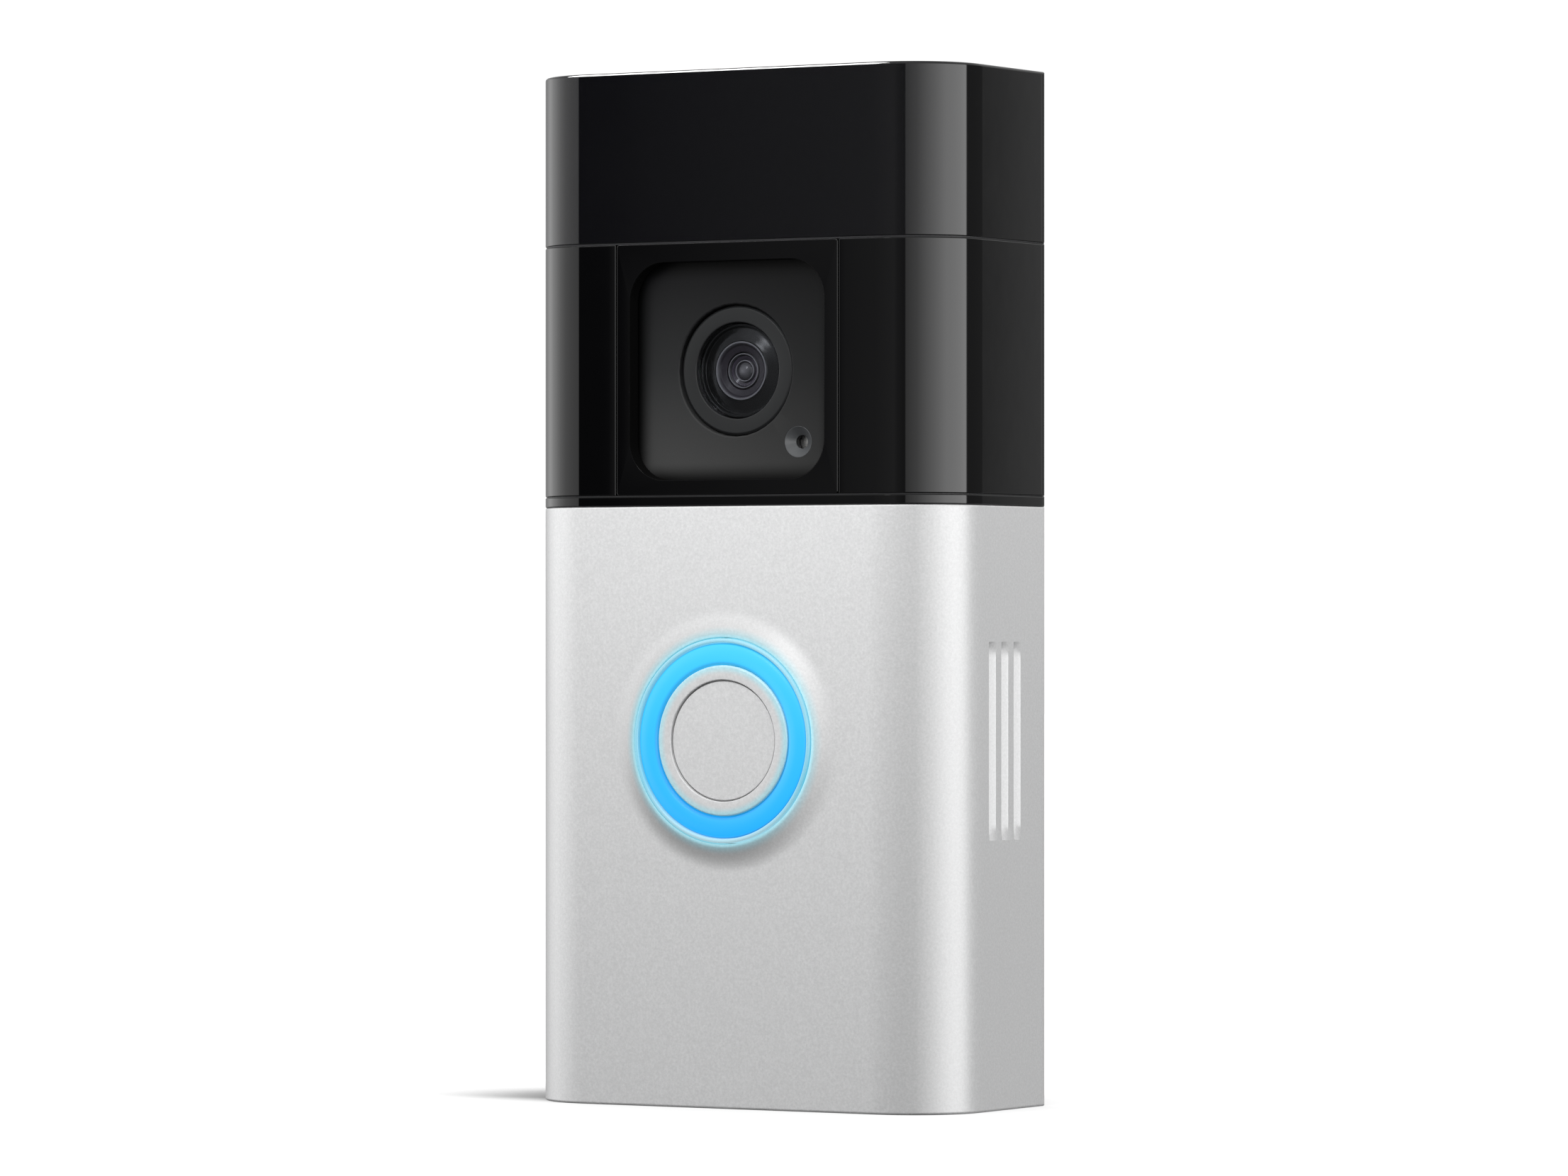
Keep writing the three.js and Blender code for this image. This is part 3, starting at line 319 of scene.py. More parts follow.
class Nodes:
    """Short calls to make and wire the nodes of a tree."""

    def __init__(self, tree, place_name):
        self.tree = tree
        self.place = self.node("ShaderNodeTexCoord").outputs[place_name]

    def node(self, kind, operation=None):
        made = self.tree.nodes.new(kind)
        if operation:
            made.operation = operation
        return made

    def link(self, source, target):
        self.tree.links.new(source, target)

    def ramp(self, source, stops):
        """Colours by position; stops are (position, colour)."""
        node = self.node("ShaderNodeValToRGB")
        elements = node.color_ramp.elements
        while len(elements) < len(stops):
            elements.new(0.5)
        for element, (position, color) in zip(elements, stops):
            element.position = position
            element.color = (*color, 1.0)
        self.link(source, node.inputs["Fac"])
        return node.outputs["Color"]

    def tone(self, value):
        """A grey colour from a number."""
        return self.ramp(value, [(0.0, grey(0)), (1.0, grey(1))])

    def remap(self, source, low, high, to_low, to_high, smooth=False):
        node = self.node("ShaderNodeMapRange")
        node.interpolation_type = "SMOOTHSTEP" if smooth else "LINEAR"
        values = {"From Min": low, "From Max": high, "To Min": to_low, "To Max": to_high}
        for socket, value in values.items():
            node.inputs[socket].default_value = value
        self.link(source, node.inputs["Value"])
        return node.outputs["Result"]

    def axis(self, name):
        node = self.node("ShaderNodeSeparateXYZ")
        self.link(self.place, node.inputs["Vector"])
        return node.outputs[name]

    def mix(self, factor, first, second, mode="MIX"):
        node = self.node("ShaderNodeMix")
        node.data_type = "RGBA"
        node.blend_type = mode
        for socket, value in (("Factor", factor), ("A", first), ("B", second)):
            target = [s for s in node.inputs if s.name == socket and s.enabled][0]
            if isinstance(value, bpy.types.NodeSocket):
                self.link(value, target)
            elif socket == "Factor":
                target.default_value = value
            else:
                target.default_value = (*value, 1.0)
        return [s for s in node.outputs if s.enabled][0]

    def times(self, first, second):
        return self.mix(1.0, first, second, "MULTIPLY")

    def blend(self, factor, first, second, output):
        """Blends two shaders and sends the result to the tree's output node."""
        node = self.node("ShaderNodeMixShader")
        for source, target in ((factor, "Fac"), (first, 1), (second, 2)):
            self.link(source, node.inputs[target])
        self.link(node.outputs["Shader"], output.inputs["Surface"])


class Shader(Nodes):
    """A material with one Principled shader. Its textures lie in the object's own space."""

    def __init__(self, name, color, roughness, metallic=0.0, **sockets):
        self.material = bpy.data.materials.new(name)
        self.material.use_nodes = True
        super().__init__(self.material.node_tree, "Object")
        self.shader = self.tree.nodes["Principled BSDF"]
        self.output = self.tree.nodes["Material Output"]
        self.set("Base Color", (*color, 1.0))
        self.set("Roughness", roughness)
        self.set("Metallic", metallic)
        for socket, value in sockets.items():
            self.set(socket.replace("_", " "), value)

    def set(self, socket, value):
        self.shader.inputs[socket].default_value = value

    def drive(self, socket, source):
        self.link(source, self.shader.inputs[socket])

    def noise(self, per_mm, detail=2.0, roughness=0.5):
        """A noise with about this many cells to the millimetre."""
        mapping = self.node("ShaderNodeMapping")
        mapping.inputs["Scale"].default_value = [per_mm / MM] * 3
        self.link(self.place, mapping.inputs["Vector"])
        texture = self.node("ShaderNodeTexNoise")
        texture.inputs["Scale"].default_value = 1.0
        texture.inputs["Detail"].default_value = detail
        texture.inputs["Roughness"].default_value = roughness
        self.link(mapping.outputs["Vector"], texture.inputs["Vector"])
        return texture.outputs["Fac"]

    def vary(self, texture, low, high):
        """A number that a noise moves between two values."""
        return self.remap(texture, 0.3, 0.7, low, high)

    def shades(self, texture, dark, light):
        """A colour that a noise moves between two shades."""
        return self.ramp(texture, [(0.3, dark), (0.7, light)])

    def radius_from(self, x, z):
        """Distance in metres from a front-to-back axis."""
        flat = self.node("ShaderNodeVectorMath", "MULTIPLY")
        flat.inputs[1].default_value = (1, 0, 1)
        self.link(self.place, flat.inputs[0])
        gap = self.node("ShaderNodeVectorMath", "DISTANCE")
        gap.inputs[1].default_value = (x * MM, 0, z * MM)
        self.link(flat.outputs["Vector"], gap.inputs[0])
        return gap.outputs["Value"]

    def rise(self, low, high, bottom=0.0, top=1.0):
        """A number that goes from bottom to top with the height."""
        return self.remap(self.axis("Z"), low * MM, high * MM, bottom, top)

    def bump(self, source, depth):
        """Adds relief; depth is in millimetres."""
        node = self.node("ShaderNodeBump")
        node.inputs["Strength"].default_value = 1.0
        node.inputs["Distance"].default_value = depth * MM
        self.link(source, node.inputs["Height"])
        self.drive("Normal", node.outputs["Normal"])


# ---- Materials -------------------------------------------------------------------------

def moulded_plastic(name, color, roughness=0.5, grain=6.0, depth=0.01):
    """Moulded plastic with a fine spark-eroded texture and a little variation."""
    look = Shader(name, color, roughness)
    grains = look.noise(grain, 3.0, 0.6)
    lighter = tuple(min(1.0, c * 1.18) for c in color)
    darker = tuple(c * 0.86 for c in color)
    look.drive("Base Color", look.ramp(look.noise(0.08, 3.0), [(0.35, darker), (0.65, lighter)]))
    look.drive("Roughness", look.vary(grains, roughness - 0.06, roughness + 0.08))
    look.bump(grains, depth)
    return look.material


def label_sheet():
    """Silvered paper of a rating label, with a fine even grain."""
    look = Shader("label_sheet", (0.52, 0.52, 0.515), 0.42)
    grains = look.noise(3.0, 3.0, 0.6)
    look.drive("Base Color", look.shades(grains, (0.49, 0.49, 0.485), (0.55, 0.55, 0.545)))
    look.drive("Roughness", look.vary(grains, 0.38, 0.48))
    return look.material


def metal(name, color, roughness=0.3, grain=4.0):
    """Bare metal with a fine grain and faint staining."""
    look = Shader(name, color, roughness, 1.0)
    grains = look.noise(grain, 3.0, 0.6)
    lighter = tuple(min(1.0, c * 1.08) for c in color)
    darker = tuple(c * 0.85 for c in color)
    look.drive("Base Color", look.shades(look.noise(0.3, 4.0), darker, lighter))
    look.drive("Roughness", look.vary(grains, roughness - 0.08, roughness + 0.1))
    look.bump(grains, 0.004)
    return look.material


# Painted light and shade on the silver, by the share of the width from the left side to the right: a
# painted highlight on the left corner, and a soft band of painted shade where the right corner starts.
CORNER_PAINTED_LIGHT = [
    (0.0, 1.0), (0.05, 0.9), (0.087, 1.1), (0.11, 1.1), (0.145, 1.0),
    (0.83, 1.0), (0.885, 0.87), (0.925, 0.74), (0.951, 0.82), (0.980, 0.95), (1.0, 1.0),
]
SKIRT_PAINTED_SHADE = 0.72         # painted shade: how much of its tone the skirt keeps beside the ring, but for its lit right side
# Painted glow of the lit ring on the silver: the tint of the paint beside the ring, the colour it emits,
# and the brighter colour it emits at the skirt's hole.
GLOW_TINT = (0.62, 0.95, 1.0)
GLOW = (0.01, 0.20, 0.28)
EDGE_GLOW = (0.16, 0.62, 0.78)


def satin_silver():
    """Metallic paint with a fine sparkle, with painted shade beside the ring, painted light and shade at
    the corners, and the ring's light painted on as a tint and a glow.
    """
    look = Shader("satin_silver", (0.57, 0.572, 0.575), 0.37, 0.2, Emission_Strength=0.6)
    flakes = look.noise(3.2, 3.0, 0.75)
    look.drive("Roughness", look.vary(flakes, 0.32, 0.42))
    look.bump(flakes, 0.010)
    paint = look.ramp(flakes, [
        (0.3, (0.525, 0.527, 0.53)), (0.5, (0.575, 0.577, 0.58)), (0.7, (0.635, 0.637, 0.64))])
    distance = look.radius_from(0.0, BUTTON_Z)

    def by_distance(start, end, first, last, smooth=False):
        return look.tone(look.remap(distance, start * MM, end * MM, first, last, smooth))

    # Painted shade on the skirt beside the ring, fading out towards its lit right side and left off the
    # cap.
    lit_right_share = look.remap(look.axis("X"), 4.0 * MM, RIM_RADIUS * MM, 0.0, 1.0, True)
    beside = look.mix(lit_right_share, by_distance(RIM_RADIUS + 0.1, SKIRT_BASE, SKIRT_PAINTED_SHADE, 1.0), grey(1.0))
    within = by_distance(CAP_RADIUS, CAP_RADIUS + 0.5, 1.0, 0.0)
    paint = look.times(paint, look.mix(1.0, beside, within, "LIGHTEN"))
    # Painted highlight on the left corner and painted shade where the right corner starts.
    across = look.remap(look.axis("X"), -SIDE * MM, SIDE * MM, 0.0, 1.0)
    paint = look.times(paint, look.ramp(across, [(share, grey(level)) for share, level in CORNER_PAINTED_LIGHT]))

    # Painted glow of the ring's light: the paint is tinted and made to emit beside the ring.
    outer_glow = by_distance(RIM_RADIUS + 0.1, RIM_RADIUS + 1.6, 0.75, 0.0, True)
    inner_glow = by_distance(CAP_RADIUS - 1.2, CAP_RADIUS, 0.0, 1.0, True)
    glow = look.mix(1.0, outer_glow, inner_glow, "DARKEN")
    look.drive("Base Color", look.mix(glow, paint, look.times(paint, GLOW_TINT)))
    past_cap = by_distance(CAP_RADIUS, RIM_RADIUS, 0.0, 1.0)
    lit_edge = look.times(by_distance(SKIRT_TOP, SKIRT_TOP + 0.3, 1.0, 0.0), past_cap)
    look.drive("Emission Color", look.times(glow, look.mix(lit_edge, GLOW, EDGE_GLOW)))
    return look.material


def gloss_black():
    """High-gloss black moulding."""
    look = Shader("gloss_black", (0.0006, 0.0006, 0.0008), 0.04, IOR=1.5)
    look.drive("Roughness", look.vary(look.noise(0.12, 4.0), 0.025, 0.06))
    look.bump(look.noise(0.35, 1.0), 0.0006)
    return look.material


def shade_lining_black():
    """Dead matt near-black lining for the walls of the camera opening, a sheet of painted shade."""
    look = Shader("shade_lining_black", grey(0.002), 0.9, Specular_IOR_Level=0.06)
    look.drive("Roughness", look.vary(look.noise(6.0), 0.85, 0.95))
    return look.material


SHADE_BORDER = 2.3               # width of the painted shade along the edges of the camera window


def window_black():
    """Semi-matt dark grey moulding with painted shade: darkest at the top, to the right and along its
    border.
    """
    look = Shader("window_black", (0.02, 0.021, 0.022), 0.45, Specular_IOR_Level=0.22)
    # Painted shade: darker towards the top and to the right.
    shade = look.ramp(look.rise(WINDOW_LOW.z, WINDOW_HIGH.z), [
        (0.08, grey(0.040)), (0.5, (0.0145, 0.015, 0.0155)), (0.9, (0.0035, 0.0035, 0.004))])
    across = look.remap(look.axis("X"), -WINDOW_HIGH.x * MM, WINDOW_HIGH.x * MM, 1.0, 0.45)
    shade = look.times(shade, look.tone(across))
    # Painted shade along all four edges of the window.
    for name, middle, half in (("X", 0.0, WINDOW_HALF_X), ("Z", LENS_Z, WINDOW_HALF_Z)):
        away = look.node("ShaderNodeMath", "ABSOLUTE")
        share = look.remap(look.axis(name), (middle - half) * MM, (middle + half) * MM, -1.0, 1.0)
        look.link(share, away.inputs[0])
        border = look.remap(away.outputs[0], 1 - SHADE_BORDER / half, 1.0, 1.0, 0.04, True)
        shade = look.times(shade, look.tone(border))
    grains = look.noise(9.0, 3.0, 0.6)
    look.drive("Base Color", look.times(shade, look.shades(grains, grey(0.86), grey(1.0))))
    look.drive("Roughness", look.vary(grains, 0.40, 0.50))
    look.bump(grains, 0.003)
    return look.material


def ring_black(name, level, shine):
    """Satin black of the lens ring, or of the port in a lighter tone."""
    look = Shader(name, (level, level * 1.05, level * 1.1), 0.36, Specular_IOR_Level=shine)
    grains = look.noise(8.0, 2.0)
    look.drive("Roughness", look.vary(grains, 0.32, 0.42))
    look.bump(grains, 0.002)
    return look.material


def baffle_black():
    """Glossy black baffle with a satin throat and two fine rims painted light grey as painted highlights.
    """
    look = Shader("baffle_black", (0.006, 0.006, 0.007), 0.16)
    distance = look.radius_from(0.0, LENS_Z)
    reach = look.remap(distance, 0.0, 6.0 * MM, 0.0, 1.0)
    # The rims' light grey is a painted highlight.
    black, throat, rim = grey(0.003), (0.011, 0.009, 0.012), (0.085, 0.083, 0.088)
    look.drive("Base Color", look.ramp(reach, [
        (0.335, rim), (0.358, rim), (0.364, black), (0.385, throat), (0.535, throat),
        (0.565, (0.05, 0.048, 0.052)), (0.574, rim), (0.600, rim), (0.606, black), (1.0, black)]))
    look.drive("Roughness", look.remap(distance, 3.3 * MM, 3.7 * MM, 0.32, 0.15))
    return look.material


def coated_lens():
    """Dark coated glass of the inner lens: a violet dish, a fine rim painted light as a painted highlight,
    and a grey middle that is a painted reflection.
    """
    look = Shader("coated_lens", (0.05, 0.045, 0.06), 0.1, Coat_Weight=0.4, Coat_Roughness=0.03)
    reach = look.remap(look.radius_from(0.0, LENS_Z), 0.0, 2.0 * MM, 0.0, 1.0)
    # The grey middle is a painted reflection and the rim's light grey a painted highlight.
    dark, rim = (0.008, 0.007, 0.009), (0.10, 0.097, 0.104)
    look.drive("Base Color", look.ramp(reach, [
        (0.0, (0.085, 0.083, 0.088)), (0.40, (0.03, 0.029, 0.031)), (0.57, dark),
        (0.60, rim), (0.66, rim), (0.69, dark), (0.95, (0.026, 0.020, 0.030))]))
    look.drive("Roughness", look.vary(look.noise(2.0), 0.08, 0.14))
    return look.material


RING_INNER = 9.42


def blue_light():
    """The lit light guide, its glow with painted shading: cyan at the top, deeper blue at the foot, darker
    at both edges.
    """
    look = Shader("blue_light", (0.01, 0.08, 0.2), 0.3, Emission_Strength=1.0)
    # Painted shading: the glow is lighter towards the top and darker at both edges.
    light = look.ramp(look.rise(RING_LOW.z, RING_HIGH.z), [
        (0.0, (0.010, 0.38, 0.95)), (0.5, (0.022, 0.46, 0.96)), (1.0, (0.055, 0.58, 1.0))])
    distance = look.radius_from(0.0, BUTTON_Z)
    inner_edge = look.remap(distance, RING_INNER * MM, (RING_INNER + 0.45) * MM, 0.62, 1.0, True)
    outer_edge = look.remap(distance, (RING_RADIUS - 0.22) * MM, RING_RADIUS * MM, 1.0, 0.5, True)
    edges = look.times(look.tone(inner_edge), look.tone(outer_edge))
    look.drive("Emission Color", look.times(light, edges))
    return look.material


def pale_rim():
    """The clear edge of the light guide, edge-lit."""
    look = Shader("pale_rim", (0.16, 0.26, 0.30), 0.3, Emission_Strength=0.5)
    look.drive("Emission Color", look.ramp(look.rise(RIM_LOW.z, RIM_HIGH.z), [
        (0.0, (0.58, 0.86, 0.96)), (0.3, (0.14, 0.66, 0.90)), (1.0, (0.30, 0.74, 0.92))]))
    look.drive("Roughness", look.vary(look.noise(1.0), 0.2, 0.3))
    return look.material


COATING = 0.4              # share of bare glass's mirror that the coating leaves


def clear_glass(name, tint, roughness=0.02):
    """Coated clear glass: a faint mirror by its angle, and clear between."""
    look = Shader(name, tint, roughness)
    fresnel = look.node("ShaderNodeFresnel")
    fresnel.inputs["IOR"].default_value = 1.45
    clear = look.node("ShaderNodeBsdfTransparent")
    clear.inputs["Color"].default_value = (*tint, 1.0)
    shine = look.node("ShaderNodeBsdfGlossy")
    shine.inputs["Roughness"].default_value = roughness
    mirror = look.remap(fresnel.outputs["Fac"], 0.0, 1.0, 0.0, COATING)
    look.blend(mirror, clear.outputs["BSDF"], shine.outputs["BSDF"], look.output)
    look.tree.nodes.remove(look.shader)
    return look.material


def circuit_board():
    """Green solder mask with fine copper tracks showing through."""
    look = Shader("circuit_board", (0.006, 0.06, 0.025), 0.35)
    tracks = look.node("ShaderNodeTexBrick")
    tracks.inputs["Scale"].default_value = 0.5 / MM
    tracks.inputs["Mortar Size"].default_value = 0.06
    tracks.inputs["Color1"].default_value = (0.005, 0.055, 0.022, 1)
    tracks.inputs["Color2"].default_value = (0.007, 0.066, 0.028, 1)
    tracks.inputs["Mortar"].default_value = (0.03, 0.13, 0.05, 1)
    swap = look.node("ShaderNodeMapping")
    swap.inputs["Rotation"].default_value = (math.radians(90), 0, 0)
    look.link(look.place, swap.inputs["Vector"])
    look.link(swap.outputs["Vector"], tracks.inputs["Vector"])
    look.drive("Base Color", tracks.outputs["Color"])
    look.bump(tracks.outputs["Fac"], 0.02)
    return look.material


SILVER = satin_silver()
GLOSS = gloss_black()
SHADE_LINING_BLACK = shade_lining_black()
MATT = moulded_plastic("matt_black", (0.010, 0.010, 0.011), 0.5)
WINDOW = window_black()
RING_BLACK = ring_black("ring_black", 0.010, 0.4)
PORT_BLACK = ring_black("port_black", 0.05, 0.8)
BLUE = blue_light()
PALE = pale_rim()
GLASS = clear_glass("lens_glass", (0.93, 0.94, 0.96))
COATED = coated_lens()
BAFFLE = baffle_black()
BOARD = circuit_board()
STEEL = metal("zinc_steel", (0.58, 0.58, 0.57), 0.3)
BRASS = metal("brass", (0.72, 0.52, 0.22), 0.28)
RUBBER = moulded_plastic("rubber", grey(0.008), 0.75, 3.0)
WHITE = moulded_plastic("white_plastic", (0.72, 0.72, 0.69), 0.45)
GREY = moulded_plastic("grey_plastic", (0.06, 0.065, 0.07), 0.48)
ORANGE = moulded_plastic("orange_plastic", (0.75, 0.19, 0.02), 0.4)
CERAMIC = moulded_plastic("sensor_ceramic", (0.05, 0.055, 0.07), 0.3)
LABEL = label_sheet()
FOIL = metal("cell_foil", (0.66, 0.67, 0.69), 0.34, 1.0)

SLOT_MATERIAL = {
    "silver": SILVER, "gloss_black": GLOSS, "matt_black": MATT, "window_black": WINDOW,
    "lens_glass": GLASS, "sensor": CERAMIC, "circuit_board": BOARD, "steel": STEEL, "brass": BRASS,
    "rubber": RUBBER, "white_plastic": WHITE, "grey_plastic": GREY, "orange_plastic": ORANGE,
    "blue_light": BLUE, "pale_rim": PALE, "cell_foil": FOIL,
}


def finish_cad_nodes():
    """Gives every CAD node its material and eased edges."""
    slots = {entry["node"]: entry["material_slot"] for entry in frame["record"]["subparts"]}
    for name, node in frame["nodes"].items():
        node.data.materials.clear()
        node.data.materials.append(SLOT_MATERIAL[slots[name]])
        weld = node.modifiers.new("weld", "WELD")
        weld.merge_threshold = 1e-6
        edges = node.modifiers.new("edges", "BEVEL")
        edges.width = 0.08 * MM
        edges.segments = 2
        edges.limit_method = "ANGLE"
        edges.angle_limit = math.radians(40)


# ---- The faceplate's skins -------------------------------------------------------------

def quarter_rows(base, edge, up):
    """Rows (z, inset) that round an edge of a skin; up is 1 at its top and -1 at its foot."""
    rows = [(base - up * depth, inset) for depth, inset in edge_curve(edge, 5)]
    return rows if up > 0 else rows[::-1]


def plain_rows(low, high, foot=0.14, top=0.14):
    """Rows of a plain skin, with the rounding of its foot and of its top."""
    middle = [(low + (high - low) * t, 0.0) for t in (0.25, 0.5, 0.75)]
    return quarter_rows(low, foot, -1) + middle + quarter_rows(high, top, 1)


def column(x, y, nx, ny, inset=0.0):
    return {"x": x, "y": y, "nx": nx, "ny": ny, "inset": inset}


def point_at(col, z, inset):
    return (col["x"] - col["nx"] * inset, col["y"] - col["ny"] * inset, z)


REAR_COLUMN = REAR - 1.0
CORNER_COLUMN = FRONT + CORNER + 0.5
PLAIN_DEPTHS = (REAR_COLUMN, (REAR + FRONT + CORNER) / 2, CORNER_COLUMN)


def side_columns(sign, depths=PLAIN_DEPTHS):
    """Columns down one side and round its front corner, from the rear edge to the front face."""
    columns = []
    for inset, back in edge_curve(SKIN_EDGE, 2):
        columns.append(column(sign * SIDE, REAR - back, sign, 0, inset))
    columns += [column(sign * SIDE, y, sign, 0) for y in sorted(depths, reverse=True)]
    return columns + corner_columns(sign)


def corner_columns(sign, steps=18):
    """Columns round one front corner, from its side to the front face."""
    columns = []
    for k in range(steps + 1):
        angle = math.radians(90 * k / steps)
        nx = sign * math.cos(angle)
        ny = -math.sin(angle)
        x = sign * (SIDE - CORNER) + CORNER * nx
        columns.append(column(x, FRONT + CORNER + CORNER * ny, nx, ny))
    return columns


def full_columns():
    middle = [column(x, FRONT, 0, -1) for x in (12, 0, -12)]
    return side_columns(1) + middle + side_columns(-1)[::-1]


def skin_piece(name, columns, rows, relief=None, patch=None, lid=False):
    """A skin of even thickness over a grid of columns and rows.

    relief gives how far a point of the outer face stands proud; patch is the stretch of columns and
    rows of the grid that a ring of quads round a hole takes the place of."""
    verts = []
    faces = []
    count = len(columns)
    for col_rows, outer in ((rows, True), (inner_rows(rows, lid), False)):
        for z, inset in col_rows:
            for col in columns:
                depth = max(inset, col["inset"]) if outer else SKIN
                proud = relief(col, z) if relief and outer else 0.0
                verts.append(point_at(col, z, depth - proud))
    size = len(rows) * count
    for offset in (0, size):
        for i in range(len(rows) - 1):
            for j in range(count - 1):
                if patch and in_span(j, patch["columns"]) and in_span(i, patch["rows"]):
                    continue
                a = offset + i * count + j
                faces.append((a, a + 1, a + count + 1, a + count))
    top = (len(rows) - 1) * count
    faces += strip(0, size, count, False)
    if lid:
        faces.append(tuple(top + j for j in range(count)))
        faces.append(tuple(size + top + j for j in range(count)))
        faces.append((top, top + count - 1, size + top + count - 1, size + top))
    else:
        faces += strip(top, size + top, count, False)
    for j in (0, count - 1):
        for i in range(len(rows) - 1):
            a = i * count + j
            faces.append((a, a + count, size + a + count, size + a))
    if patch:
        add_patch(verts, faces, columns, rows, patch)
    return make_object(name, verts, faces, SKIN_SHARP)


def in_span(value, span):
    return span[0] <= value < span[1]


def inner_rows(rows, lid):
    low, high = rows[0][0], rows[-1][0]
    top = high - SKIN if lid else high
    return [(low + (z - low) * (top - low) / (high - low), SKIN) for z, _ in rows]


def skirt_height(radius):
    """How far the silver skirt stands proud of the front face at a distance from the button."""
    t = (SKIRT_BASE - radius) / (SKIRT_BASE - SKIRT_TOP)
    t = min(1.0, max(0.0, t))
    return (FRONT - SHELL_LOW.y) * (1 - (1 - t ** 2.1) ** 1.6)


def add_patch(verts, faces, columns, rows, patch):
    """Rings of quads from the square gap in the grid in to the round hole."""
    (j0, j1), (i0, i1) = patch["columns"], patch["rows"]
    border = [(i0, j) for j in range(j0, j1)]
    border += [(i, j1) for i in range(i0, i1)]
    border += [(i1, j) for j in range(j1, j0, -1)]
    border += [(i, j0) for i in range(i1, i0, -1)]
    squares = [(columns[j]["x"], rows[i][0] - BUTTON_Z) for i, j in border]
    outer = SKIRT_BASE + SKIRT_MARGIN
    rings = int((outer - SKIRT_TOP) / SKIRT_STEP) + 1
    radii = [outer - k * SKIRT_STEP for k in range(rings)]
    loops = [facing(squares, FRONT, 0, BUTTON_Z)]
    loops += [ring_points(squares, radius, FRONT - skirt_height(radius)) for radius in radii]
    top = FRONT - skirt_height(SKIRT_TOP)
    loops += [ring_points(squares, SKIRT_HOLE + out, top + down) for out, down in edge_curve(HOLE_EDGE)]
    loops.append(ring_points(squares, SKIRT_HOLE, FRONT + SKIN))
    loops.append(facing(squares, FRONT + SKIN, 0, BUTTON_Z))
    start = len(verts)
    count = len(squares)
    for loop in loops:
        verts.extend(loop)
    for i in range(len(loops) - 1):
        faces += strip(start + i * count, start + (i + 1) * count, count)


def ring_points(squares, radius, y):
    """The points of a square moved along their rays to a circle round the button."""
    points = []
    for x, z in squares:
        scale = radius / math.hypot(x, z)
        points.append((x * scale, y, BUTTON_Z + z * scale))
    return points


def groove_relief(col, z):
    """The side grooves: a step down at the front edge, ramping out to the rear edge."""
    if col["ny"] or abs(z - BUTTON_Z) > GROOVE_HALF - GROOVE_WALL:
        return 0.0
    for start in GROOVE_STARTS:
        along = (col["y"] - start) / GROOVE_WIDTH
        if GROOVE_WALL / GROOVE_WIDTH * 0.99 <= along <= 1.0:
            return -GROOVE_DEPTH * (1 - along)
    return 0.0


def silver_shell():
    """The silver skin, with the skirt round the button and the grooves in its sides."""
    depths = [REAR_COLUMN, CORNER_COLUMN]
    for start in GROOVE_STARTS:
        depths += [start, start + GROOVE_WALL, start + GROOVE_WIDTH * 0.5, start + GROOVE_WIDTH]
    shares = [k / PATCH_STEPS for k in range(PATCH_STEPS + 1)]
    columns = side_columns(1, depths)
    first = len(columns)
    columns += [column(PATCH_HALF * (1 - 2 * share), FRONT, 0, -1) for share in shares]
    columns += side_columns(-1, depths)[::-1]
    grid = [BUTTON_Z - PATCH_HALF * (1 - 2 * share) for share in shares]
    ends = [BUTTON_Z + s * h for s in (-1, 1) for h in (GROOVE_HALF, GROOVE_HALF - GROOVE_WALL)]
    heights = sorted(grid + ends + [SHELL_LOW.z + 4, SHELL_LOW.z + 15, SHELL_HIGH.z - 4])
    rows = quarter_rows(SHELL_LOW.z, 0.35, -1) + [(z, 0.0) for z in heights]
    rows += quarter_rows(SHELL_HIGH.z, 0.2, 1)
    levels = [z for z, _ in rows]
    patch = {
        "columns": (first, first + PATCH_STEPS),
        "rows": (levels.index(grid[0]), levels.index(grid[-1])),
    }
    shell = skin_piece("faceplate_shell_skin", columns, rows, groove_relief, patch)
    place(shell, SILVER, "silver", "faceplate", "faceplate_shell")


LIP_INSET = SKIN - 0.15
LIP_REAR = -2.2
LIP_LOW = 0.12
LIP_THICK = 2.0
CUT_LOW = -1.0             # cutters of the lip run from here
CUT_HIGH = 3.0             # to here
SCREW_Y = node_middle("security_screw")[0].y


def silver_lip():
    """The floor of the faceplate, with the security screw's seat and the sound outlets."""
    corner = [point_at(col, 0, LIP_INSET)[:2] for col in corner_columns(1)]
    half = [(SIDE - LIP_INSET, LIP_REAR)] + corner
    outline = half + [(-x, y) for x, y in half[::-1]]
    lip = laid("faceplate_lip", outline, (LIP_LOW, LIP_THICK))
    outlet = rect_outline(2.5, 0.6, 0.55, 6, 2)
    outlets = [laid("outlet", outlet, (CUT_LOW, CUT_HIGH), x, -7.8) for x in (-16, -8, 8, 16)]
    seat = laid("seat", round_outline(2.9), (CUT_LOW, 1.2), 0.0, SCREW_Y)
    hole = laid("hole", round_outline(1.7), (CUT_LOW, CUT_HIGH), 0.0, SCREW_Y)
    carve(lip, seat, hole, *outlets)
    soften(lip, 0.1, 2)
    place(lip, SILVER, "silver", "faceplate", "faceplate_shell")


TOP_SKIN = "top_cover_skin"


def plain_skins():
    """The trim strip, and the top cover with its lid."""
    trim_rows = plain_rows(TRIM_LOW.z, TRIM_HIGH.z, 0.1, 0.1)
    trim = skin_piece("faceplate_trim_strip", full_columns(), trim_rows)
    place(trim, GLOSS, "gloss_black", "faceplate", "faceplate_trim")
    cover_rows = plain_rows(TOP_LOW.z, TOP_HIGH.z, 0.12, 0.36)
    cover = skin_piece(TOP_SKIN, full_columns(), cover_rows, lid=True)
    place(cover, GLOSS, "gloss_black", "faceplate", "top_cover")


